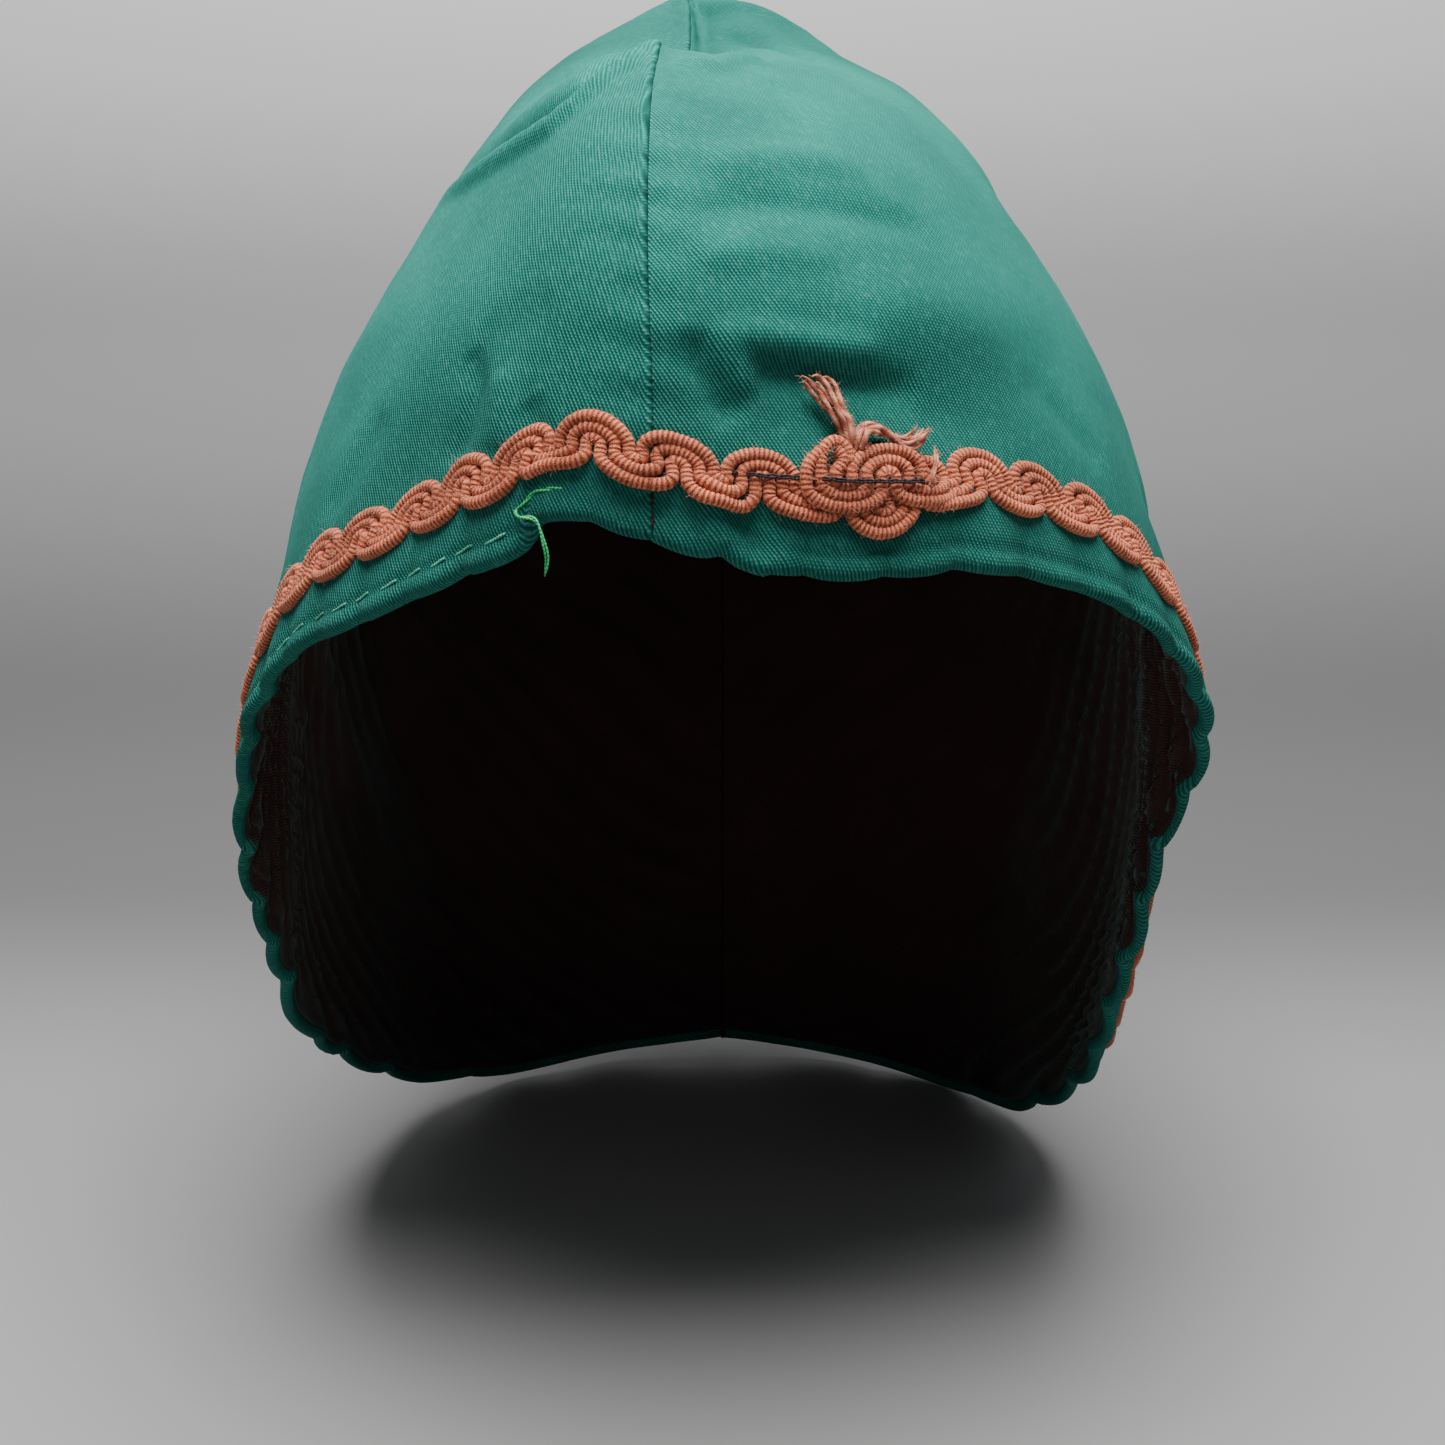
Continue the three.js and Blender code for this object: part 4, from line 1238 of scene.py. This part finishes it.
def yarn_material(name, pitch, slant, dark, pale, tip_colour, depth, rough):
    """Cotton yarn wound or twisted round a core, with painted shade between its turns and fine
    fuzz.
    """
    material, nodes, links, shader = new_material(name)
    cut = add_node(nodes, "ShaderNodeUVMap", uv_map="cut")
    apart = nodes.new("ShaderNodeSeparateXYZ")
    links.new(cut.outputs["UV"], apart.inputs[0])
    turns = math_node(nodes, links, "DIVIDE", apart.outputs["Y"], pitch)
    around = math_node(nodes, links, "MULTIPLY", apart.outputs["X"], slant)
    wound = math_node(nodes, links, "ADD", turns, around)
    wave = math_node(nodes, links, "MULTIPLY", wound, 2 * math.pi)
    wave = math_node(nodes, links, "COSINE", wave)
    relief = math_node(nodes, links, "MULTIPLY_ADD", wave, 0.5)
    relief.node.inputs[2].default_value = 0.5
    place = nodes.new("ShaderNodeTexCoord")
    fibre = add_node(nodes, "ShaderNodeTexNoise", (("Scale", FIBRE_SCALE), ("Detail", 2.0)))
    links.new(place.outputs["Object"], fibre.inputs["Vector"])
    patch = add_node(nodes, "ShaderNodeTexNoise", (("Scale", YARN_PATCH_SCALE), ("Detail", 3.0)))
    links.new(place.outputs["Object"], patch.inputs["Vector"])
    mixed = math_node(nodes, links, "MULTIPLY_ADD", fibre.outputs["Fac"], FIBRE_SHARE)
    links.new(math_node(nodes, links, "MULTIPLY", relief, TURN_SHARE), mixed.node.inputs[2])
    base = colour_ramp(nodes, links, mixed, tuple(zip(YARN_STOPS, (dark, pale, tip_colour))))
    shades = colour_ramp(nodes, links, patch.outputs["Fac"], YARN_PATCH_SHADES)
    base = blend_colours(nodes, links, "MULTIPLY", 1.0, base, shades)
    links.new(base, shader.inputs["Base Color"])
    bump = add_node(nodes, "ShaderNodeBump", (("Strength", 1.0), ("Distance", depth)))
    links.new(mixed, bump.inputs["Height"])
    links.new(bump.outputs["Normal"], shader.inputs["Normal"])
    shader.inputs["Roughness"].default_value = rough
    shader.inputs["Specular IOR Level"].default_value = YARN_SPECULAR
    shader.inputs["Sheen Weight"].default_value = YARN_SHEEN
    shader.inputs["Sheen Roughness"].default_value = YARN_SHEEN_ROUGHNESS
    shader.inputs["Sheen Tint"].default_value = YARN_SHEEN_TINT
    return material


# The first colour is painted shade, for the gaps between the turns of yarn.
GIMP_COLOURS = ((0.085, 0.014, 0.007), (0.50, 0.120, 0.060), (0.78, 0.29, 0.17))
GIMP_SLANT = 0.6
GIMP_RELIEF = 0.28 * MM
GIMP_ROUGHNESS = 0.92
gimp_yarn = yarn_material(
    "rust_gimp_yarn", WRAP_PITCH, GIMP_SLANT, *GIMP_COLOURS, GIMP_RELIEF, GIMP_ROUGHNESS
)

random.seed(41)
scallops = round(hem_round / SCALLOP_PITCH)
pitch = hem_round / scallops
sway = []
for _ in range(scallops):
    slide = random.uniform(-SWAY_SLIDE, SWAY_SLIDE) * MM
    tall = random.uniform(*SWAY_TALL)
    sway.append((slide, tall, random.uniform(-SWAY_LEAN, SWAY_LEAN)))
sway = np.array(sway + sway[:1])
for cord in range(3):
    along, up = scroll_line(cord, FIRST_SCALLOP, scallops, pitch)
    share = (along - FIRST_SCALLOP) / pitch % scallops
    slide, tall, lean = (np.interp(share, np.arange(scallops + 1), sway[:, k]) for k in range(3))
    along = along + slide + lean * up
    around = (along + hem_round / 2) % hem_round - hem_round / 2
    up = up * tall - LAP_DROOP * np.exp(-(((around - LAP_DROOP_AT) / LAP_DROOP_REACH) ** 2))
    up -= FRONT_DROOP * np.exp(-(((around - FRONT_DROOP_AT) / FRONT_DROOP_REACH) ** 2))
    outer_turn = np.clip(np.abs(up) / OUTER_TURN_UP, 0, 1)
    lift = CORD_RADIUS * (CORD_SEAT + OUTER_TURN_RISE * outer_turn**2)
    lift = lift + LOWER_EDGE_LIFT * np.clip(-up / LOWER_EDGE_DOWN, 0, 1) ** 3
    along = np.concatenate((along, along[:1] + hem_round))
    up = np.concatenate((up, up[:1]))
    lift = np.concatenate((lift, lift[:1]))
    along, from_hem, lift = even_steps(along, BRAID_MIDDLE + up, lift, WRAP_PITCH / 3)
    centres, normals = on_cloth(along, from_hem, lift)
    ribs = wrapped_radii(len(centres))
    ribs[-1] = ribs[0]
    name = f"gimp_cord_{cord + 1}"
    piece = add_object(name, cord_tube(name, centres, normals, ribs, CORD_SIDES, loop=True))
    piece.data.materials.append(gimp_yarn)
    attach(piece, "root")
    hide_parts("gimp_braid")


# Lap of the braid, with its frayed ends.
# The two ends of the braid meet beside the front seam, on the wearer's left. The upper end is
# curled over the under one and caught down by the machine stitch, and its yarns come undone.
LAP_PITCH = 15.8 * MM
LAP_LOWER_TURN = 32.9 * MM
LAP_LIFT = 1.9 * MM
LAP_TILT = 0.06
LAP_SETTLES_FROM = 47 * MM
LAP_SETTLES_OVER = 9 * MM
LAP_HALF_TURNS = 3
LAP_POINTS = 400
# Where each cord enters the first turn, from its frayed end: along and above the middle, in mm.
LAP_STARTS = (
    ((32.0, 4.6), (32.9, 3.6), (32.6, 2.2), (31.6, 1.2)),
    ((34.2, 2.6), (34.0, 4.6), (32.1, 6.0), (30.2, 5.0), (29.0, 2.6)),
    ((29.4, 4.4), (28.0, 3.2), (26.8, 1.8)),
)
# Yarns that stick out: along, up from the hem and lift, in mm, then the yarn's radius. The first
# four stand up, and the others lie along the braid.
UPRIGHT_YARNS = 4
FRAYED_YARNS = (
    (
        (
            (35.0, 20.4, 2.6), (33.9, 24.0, 3.4), (32.0, 27.4, 3.4), (29.6, 30.2, 3.4),
            (27.6, 31.9, 4.2),
        ),
        0.78,
    ),
    (
        (
            (35.2, 20.6, 3.6), (34.4, 24.4, 4.6), (33.0, 27.8, 4.4), (31.2, 30.9, 4.2),
            (29.6, 33.2, 5.0),
        ),
        0.80,
    ),
    (
        (
            (35.7, 20.6, 2.6), (35.3, 24.6, 3.4), (34.5, 28.0, 3.6), (33.3, 31.0, 3.6),
            (31.6, 33.4, 4.4),
        ),
        0.80,
    ),
    (
        (
            (36.0, 20.8, 1.8), (36.2, 24.6, 2.0), (35.6, 27.8, 2.2), (34.4, 30.6, 2.4),
            (33.0, 32.6, 3.2),
        ),
        0.66,
    ),
    (
        (
            (36.0, 20.0, 3.4), (36.6, 22.6, 4.0), (38.6, 24.0, 3.6), (42.0, 23.2, 3.2),
            (45.6, 20.9, 3.2), (48.0, 21.3, 3.6), (50.0, 22.8, 4.2),
        ),
        0.80,
    ),
    (
        (
            (36.8, 19.8, 4.0), (37.6, 22.2, 4.8), (39.6, 23.0, 4.4), (42.6, 22.0, 3.8),
            (45.8, 19.9, 3.8), (48.2, 20.6, 4.2), (49.8, 21.8, 4.8),
        ),
        0.78,
    ),
    (
        (
            (36.4, 21.0, 2.4), (37.6, 23.6, 2.4), (40.6, 24.3, 2.2), (44.0, 22.6, 2.0),
            (47.0, 21.9, 2.6), (49.0, 23.2, 3.4),
        ),
        0.60,
    ),
    (
        ((47.0, 12.8, 5.6), (48.0, 14.6, 5.6), (49.4, 17.0, 5.2), (50.6, 19.2, 4.2)),
        0.40,
    ),
)
PLY_TWIST = 9.0 * MM
PLY_STEP = 0.45 * MM
PLIES = 2
PLY_SHARE = 0.56
PLY_SIDES = 6
PLY_OPENING = 0.35
PLY_THINNING = 0.25
PLY_END = 12
PLY_END_SHARE = 0.35
YARN_FLUFF = 1.25
YARN_FRAY = 0.5
YARN_STEPS = 60
LOOSE_YARN_TURN = 3.2 * MM
# The first colour is painted shade, for the gaps between the turns of yarn.
LOOSE_YARN_COLOURS = ((0.17, 0.040, 0.022), (0.46, 0.155, 0.095), (0.68, 0.34, 0.24))
LOOSE_YARN_RELIEF = 0.15 * MM
LOOSE_YARN_ROUGHNESS = 0.85


def joined(name, meshes):
    """One mesh from several."""
    whole = bmesh.new()
    for mesh in meshes:
        whole.from_mesh(mesh)
        bpy.data.meshes.remove(mesh)
    mesh = bpy.data.meshes.new(name)
    whole.to_mesh(mesh)
    whole.free()
    return mesh


def smooth_path(places, steps):
    """Points on a smooth line through a few places."""
    places = np.array(places, float)
    reach = np.linalg.norm(np.diff(places, axis=0), axis=-1)
    knots = np.concatenate(([0], np.cumsum(reach)))
    return spline_weights(knots, np.linspace(0, knots[-1], steps)) @ places


def twisted(name, centres, normals, radius, fray=0.0):
    """A yarn of two plies twisted together along a line; fray opens them towards the end."""
    forward = unit(np.gradient(centres, axis=0))
    aside = unit(np.cross(normals, forward))
    above = np.cross(forward, aside)
    run = np.concatenate(([0], np.cumsum(np.linalg.norm(np.diff(centres, axis=0), axis=-1))))
    share = run / run[-1]
    frayed_share = share * bool(fray)
    ply_radius = radius * PLY_SHARE
    meshes = []
    for ply in range(PLIES):
        turns = run / PLY_TWIST * (1 - PLY_OPENING * frayed_share) + ply / PLIES
        angle = (2 * math.pi * turns)[:, None]
        away = (radius - ply_radius) * (1 + fray * share**3)
        line = centres + away[:, None] * (np.cos(angle) * aside + np.sin(angle) * above)
        thin = ply_radius * np.clip((1 - share) * PLY_END, PLY_END_SHARE, 1)
        thin = thin * (1 - PLY_THINNING * frayed_share)
        meshes.append(cord_tube("ply", line, normals, thin, PLY_SIDES))
    return joined(name, meshes)


lap_meshes = []
for cord in range(3):
    turn = np.linspace(math.pi, 0, TURN_STEPS)
    wide = LAP_PITCH / SCALLOP_PITCH
    start = np.array(LAP_STARTS[cord])
    along, up = [start[:, 0] * MM], [start[:, 1] * MM]
    for half_turn in range(LAP_HALF_TURNS):
        lower = half_turn % 2 == 0
        sizes = LOWER_TURNS[2 - cord] if lower else UPPER_TURNS[cord]
        reach, top, rise = (value * MM for value in sizes)
        centre = LAP_LOWER_TURN + half_turn * LAP_PITCH / 2
        along.append(centre + reach * wide * np.cos(turn))
        sign = -1 if lower else 1
        up.append(sign * (top - rise + rise * np.sin(turn)))
    along, up = np.concatenate(along), np.concatenate(up)
    line = smooth_path(np.stack((along, up), axis=1), LAP_POINTS)
    along, up = line[:, 0], line[:, 1]
    share = np.clip((along - LAP_SETTLES_FROM) / LAP_SETTLES_OVER, 0, 1)
    lift = CORD_RADIUS + LAP_LIFT * (1 - share * share * (3 - 2 * share)) + LAP_TILT * up
    along, from_hem, lift = even_steps(along, BRAID_MIDDLE + up, lift, WRAP_PITCH / 3)
    centres, normals = on_cloth(along, from_hem, lift)
    ribs = wrapped_radii(len(centres))
    lap_meshes.append(cord_tube("lap_cord", centres, normals, ribs, CORD_SIDES))
lap = add_object("gimp_lap", joined("gimp_lap", lap_meshes))
lap.data.materials.append(gimp_yarn)
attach(lap, "root")
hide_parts("gimp_braid")

loose_yarn = yarn_material(
    "rust_loose_yarn", LOOSE_YARN_TURN, 1.0, *LOOSE_YARN_COLOURS,
    LOOSE_YARN_RELIEF, LOOSE_YARN_ROUGHNESS,
)
upright_yarns, lying_yarns = [], []
for number, (way, radius) in enumerate(FRAYED_YARNS):
    line = smooth_path(way, YARN_STEPS) * MM
    along, from_hem, lift = even_steps(line[:, 0], line[:, 1], line[:, 2], PLY_STEP)
    centres, normals = on_cloth(along, from_hem, lift)
    mesh = twisted("yarn", centres, normals, radius * YARN_FLUFF * MM, fray=YARN_FRAY)
    (upright_yarns if number < UPRIGHT_YARNS else lying_yarns).append(mesh)
for name, node, meshes in (
    ("upright_yarns", "frayed_end_upright", upright_yarns),
    ("lying_yarns", "frayed_end_lying", lying_yarns),
):
    tuft = add_object(name, joined(name, meshes))
    tuft.data.materials.append(loose_yarn)
    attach(tuft, "root")
    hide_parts(node)


# Sewing threads.
# Dark thread runs along the middle of the braid by the lap and tacks the seam below it. The hem is
# topstitched in green, and a brighter green thread was left hanging where the stitching stops.
DARK_THREAD = (0.022, 0.013, 0.017)
HEM_THREAD = (0.07, 0.44, 0.29)
LOOSE_THREAD = (0.030, 0.480, 0.150)
DARK_TWIST = 0.8 * MM
HEM_TWIST = 0.6 * MM
LOOSE_TWIST = 0.7 * MM
# Share of the thread's colour that is painted between its plies, as their shade.
THREAD_PAINTED_SHADE = 0.35
THREAD_PALER = 1.7
THREAD_FIBRE = 0.02
THREAD_RELIEF = 0.06 * MM
THREAD_ROUGHNESS = 0.7
THREAD_STEP = 0.35 * MM
THREAD_POINTS = 8
# The two dark threads on the braid, in mm: their way along it, the stretch over the lap and the
# stretch that shows, their height on it, and how far they lie above the cloth.
LINE_FROM = 13.0
LINE_TO = 54.0
LINE_STEP = 0.6
LINE_POINTS = 5
LINE_OFFSETS = (0.16, -0.16)
LINE_UNEVEN = 0.14
LINE_RADIUS = 0.23 * MM
LINE_OVER_LAP = (28, 49.5)
LINE_LAP_BLEND = 1.2
LINE_SHOWS = (17, 47)
LINE_SUNK_SHARE = 0.25
LINE_SUNK = 0.9
LINE_LIFT = 2.25
LINE_LAP_LIFT = 2.0
LINE_SHOWN_LIFT = 0.28
LINE_END_LIFT = 1.2
LINE_HEIGHT = 0.8
LINE_FALL = 1.9
LINE_FALLS_FROM = 27
LINE_FALLS_OVER = 17
# The bars of thread across the front seam: from and to these heights above the hem, in mm.
SEAM_TACKS = ((1.7, 2.9), (5.5, 7.0))
TACK_STITCHES = 8
TACK_REACH = (0.4, 0.6)
TACK_LEAN = 0.7
# Each place on a tack stitch: share of its reach and lean, and its lift in mm.
TACK_SHAPE = ((-1, 0.1), (-0.6, 0.6), (0, 0.7), (0.6, 0.6), (1, 0.1))
TACK_RADIUS = 0.36 * MM
# A short dark end that sticks out of the hem: along, up from the hem and lift, in mm.
HEM_END = ((-19.6, 2.4, 0.2), (-19.8, 1.2, 0.5), (-20.1, 0.4, 0.9), (-20.4, 0.1, 1.9))
HEM_END_RADIUS = 0.3 * MM
# The hem stitches of the right half, in mm: where they start, how short of the back seam they
# stop, how long each shows, and how far apart they are.
HEM_STITCHES_FROM = -25.5
HEM_STITCHES_SHORT = 4
HEM_STITCH_SHOWING = 4.4
HEM_STITCH_LENGTHS = (0.85, 1.15)
HEM_STITCH_PITCH = 6.6
HEM_STITCH_PITCHES = (0.9, 1.1)
# Each place on a hem stitch: share of its length, further on, up from its line, and lift.
HEM_STITCH_SHAPE = (
    (0, 0, 0.7, 0.0), (0, -0.5, 0.6, 0.65), (0.5, 0, 0.25, 0.8), (1, 0.6, -0.3, 0.65),
    (1, 0, -0.5, 0.0),
)
HEM_STITCH_RADIUS = 0.24 * MM
# The loose thread: its way on the cloth and where it leaves it, as along, up from the hem and
# lift, then the places that it hangs through, all in mm.
LOOSE_ON_CLOTH = (
    (-24.8, 6.6, 0.2), (-22.4, 6.4, 0.7), (-18.8, 5.4, 0.75), (-15.6, 4.9, 0.6), (-13.4, 4.8, 0.3),
)
LOOSE_LEAVES = ((-23.8, 6.5, 0.9), (-23.2, 5.4, 1.3))
LOOSE_HANGS = (
    (-31.8, -111.6, -61.8), (-30.1, -112.9, -65.2), (-29.5, -112.9, -68.6), (-30.0, -112.6, -71.4),
)
LOOSE_RADIUS = 0.42 * MM
LOOSE_STEP = 0.3 * MM
LOOSE_POINTS = 50
HANGING_POINTS = 60
LOOSE_FRAY = 0.8


def thread_material(name, colour, pitch):
    """Fine twisted thread in one colour, with painted shade between its plies."""
    dark = tuple(value * THREAD_PAINTED_SHADE for value in colour)
    pale = tuple(min(1.0, value * THREAD_PALER + THREAD_FIBRE) for value in colour)
    return yarn_material(name, pitch, 1.0, dark, colour, pale, THREAD_RELIEF, THREAD_ROUGHNESS)


def sewn_thread(name, places, radius, steps=None):
    """A thread through places given as along, up from the hem and lift, all in millimetres."""
    places = np.array(places, float)
    line = smooth_path(places, steps or THREAD_POINTS * len(places)) * MM
    along, from_hem, lift = even_steps(line[:, 0], line[:, 1], line[:, 2], THREAD_STEP)
    centres, normals = on_cloth(along, from_hem, lift)
    return cord_tube(name, centres, normals, np.full(len(centres), radius), PLY_SIDES)


def finish_thread(name, meshes, material):
    """Joins threads into one piece that rides with the hood."""
    piece = add_object(name, joined(name, meshes))
    piece.data.materials.append(material)
    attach(piece, "root")
    return piece


random.seed(7)
dark_thread = thread_material("dark_sewing_thread", DARK_THREAD, DARK_TWIST)
threads = []
for offset in LINE_OFFSETS:
    places = []
    position = LINE_FROM
    while position < LINE_TO:
        onto_lap = 1 / (1 + math.exp(-(position - LINE_OVER_LAP[0]) * LINE_LAP_BLEND))
        over_lap = onto_lap / (1 + math.exp((position - LINE_OVER_LAP[1]) * LINE_LAP_BLEND))
        visible = 1.0 if LINE_SHOWS[0] < position < LINE_SHOWS[1] else LINE_SUNK_SHARE
        top = LINE_LIFT + LINE_LAP_LIFT * over_lap + LINE_SHOWN_LIFT * visible
        fallen = min(1.0, max(0.0, (position - LINE_FALLS_FROM) / LINE_FALLS_OVER))
        way_down = LINE_HEIGHT - LINE_FALL * fallen
        away = (position * MM - FRONT_DROOP_AT) / FRONT_DROOP_REACH
        droop = FRONT_DROOP * math.exp(-(away**2))
        height = (BRAID_MIDDLE - droop) / MM + way_down + offset
        height += random.uniform(-LINE_UNEVEN, LINE_UNEVEN)
        places.append((position, height, top - LINE_SUNK * (1 - visible)))
        position += LINE_STEP
    places.append((position, height, LINE_END_LIFT))
    threads.append(sewn_thread("line", places, LINE_RADIUS, LINE_POINTS * len(places)))
for low, high in SEAM_TACKS:
    for stitch in range(TACK_STITCHES):
        middle = random.uniform(low, high)
        reach = random.uniform(*TACK_REACH)
        lean = random.uniform(-TACK_LEAN, TACK_LEAN)
        places = [(reach * way, middle + lean * way, top) for way, top in TACK_SHAPE]
        threads.append(sewn_thread("tack", places, TACK_RADIUS))
threads.append(sewn_thread("hem_end", HEM_END, HEM_END_RADIUS))
finish_thread("dark_thread", threads, dark_thread)

stitches = []
position = HEM_STITCHES_FROM
while position > bed_run[0] / MM + HEM_STITCHES_SHORT:
    length = HEM_STITCH_SHOWING * random.uniform(*HEM_STITCH_LENGTHS)
    height = HEM_STITCH_FROM_HEM / MM
    places = [
        (position - length * share + further, height + up, lift)
        for share, further, up, lift in HEM_STITCH_SHAPE
    ]
    stitches.append(sewn_thread("stitch", places, HEM_STITCH_RADIUS))
    position -= HEM_STITCH_PITCH * random.uniform(*HEM_STITCH_PITCHES)
green_thread = thread_material("green_hem_thread", HEM_THREAD, HEM_TWIST)
finish_thread("hem_stitches", stitches, green_thread)

line = smooth_path(LOOSE_ON_CLOTH, LOOSE_POINTS) * MM
along, from_hem, lift = even_steps(line[:, 0], line[:, 1], line[:, 2], LOOSE_STEP)
centres, normals = on_cloth(along, from_hem, lift)
on_hem = twisted("loose", centres, normals, LOOSE_RADIUS)
leaving = np.array(LOOSE_LEAVES) * MM
start, out = on_cloth(leaving[:, 0], leaving[:, 1], leaving[:, 2])
line = smooth_path(np.concatenate((start, np.array(LOOSE_HANGS) * MM)), HANGING_POINTS)
hanging = twisted("loose", line, np.tile(out[:1], (len(line), 1)), LOOSE_RADIUS, fray=LOOSE_FRAY)
bright_thread = thread_material("bright_green_thread", LOOSE_THREAD, LOOSE_TWIST)
finish_thread("loose_green_thread", [on_hem, hanging], bright_thread)


# Fuzz and lint.
# The gimp yarn is hairy cotton, with short fibres standing up all over it. A few pale bits of lint
# have caught on the twill.
FUZZ_BATCHES = 32
FUZZ_IN_BATCH = 300
FUZZ_LENGTH = (0.4 * MM, 1.4 * MM)
FUZZ_SHARES = (
    ("gimp_cord_1", 4), ("gimp_cord_2", 3), ("gimp_cord_3", 4), ("gimp_lap", 2),
    ("upright_yarns", 0.6), ("lying_yarns", 0.6),
)
FUZZ_RADIUS = 0.042 * MM
FUZZ_TIP_SHARE = 0.3
FUZZ_LEAN = 0.9
FUZZ_OUT = 0.42
FUZZ_STOPS = ((0.3, (0.34, 0.12, 0.075)), (0.7, (0.72, 0.36, 0.26)))
LOOSE_FIBRE_ROUGHNESS = 0.9
LINT_COLOUR = (0.50, 0.56, 0.53)
# Each bit of lint: where it lies on the cloth and half its length, in mm.
LINT_PLACES = (
    ((70.4, -79.9, -75.9), 0.9), ((-30, -96, -14), 0.5), ((-24, -92, -6), 0.6),
    ((52, -84, -24), 0.45), ((-38, -86, -20), 0.4), ((18, -98, -21), 0.45),
)
LINT_RADIUS = 0.09 * MM

random.seed(23)
fuzz_batches = []
names, shares = zip(*FUZZ_SHARES)
for batch in range(FUZZ_BATCHES):
    fuzz = bmesh.new()
    for fibre in range(FUZZ_IN_BATCH):
        source = bpy.data.objects[random.choices(names, shares)[0]].data
        vert = source.vertices[random.randrange(len(source.vertices))]
        lean = Vector([random.uniform(-FUZZ_LEAN, FUZZ_LEAN) for _ in range(3)])
        heading = (vert.normal + lean).normalized()
        length = random.uniform(*FUZZ_LENGTH)
        turn = heading.to_track_quat("Z", "Y").to_matrix().to_4x4()
        place = Matrix.Translation(vert.co + heading * length * FUZZ_OUT) @ turn
        bmesh.ops.create_cone(
            fuzz,
            cap_ends=True,
            segments=3,
            radius1=FUZZ_RADIUS,
            radius2=FUZZ_RADIUS * FUZZ_TIP_SHARE,
            depth=length,
            matrix=place,
        )
    fuzz_batches.append(bpy.data.meshes.new("fuzz_batch"))
    fuzz.to_mesh(fuzz_batches[-1])
    fuzz.free()
fuzz_piece = add_object("gimp_fuzz", joined("gimp_fuzz", fuzz_batches))
fuzz_material, nodes, links, shader = new_material("rust_fuzz")
place = nodes.new("ShaderNodeTexCoord")
tone = add_node(nodes, "ShaderNodeTexNoise", (("Scale", 900.0),))
links.new(place.outputs["Object"], tone.inputs["Vector"])
fuzz_colour = colour_ramp(nodes, links, tone.outputs["Fac"], FUZZ_STOPS)
links.new(fuzz_colour, shader.inputs["Base Color"])
shader.inputs["Roughness"].default_value = LOOSE_FIBRE_ROUGHNESS
fuzz_piece.data.materials.append(fuzz_material)
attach(fuzz_piece, "root")

lint_threads = []
cloth_points = np.concatenate([half["sheet"].reshape(-1, 3) for half in halves.values()])
cloth_outward = np.concatenate([half["normals"].reshape(-1, 3) for half in halves.values()])
for place, length in LINT_PLACES:
    nearest = int(np.argmin(((cloth_points - np.array(place) * MM) ** 2).sum(axis=1)))
    outward = cloth_outward[nearest]
    aside = unit(np.cross(outward, (0.3, 0.2, 1.0)))
    for strand in range(3):
        lean = np.array([random.uniform(-0.5, 0.5) for _ in range(3)])
        ends = np.array((-1.0, -0.3, 0.4, 1.0))[:, None] * length * MM * unit(aside + lean)
        bow = np.array((0.1, 0.35, 0.3, 0.15))[:, None] * MM * outward
        line = smooth_path(cloth_points[nearest] + ends + bow, 12)
        upward = np.tile(outward, (len(line), 1))
        lint_threads.append(cord_tube("lint", line, upward, np.full(len(line), LINT_RADIUS), 5))
lint = add_object("lint", joined("lint", lint_threads))
lint_material, nodes, links, shader = new_material("pale_lint")
shader.inputs["Base Color"].default_value = (*LINT_COLOUR, 1.0)
shader.inputs["Roughness"].default_value = LOOSE_FIBRE_ROUGHNESS
lint.data.materials.append(lint_material)
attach(lint, "root")
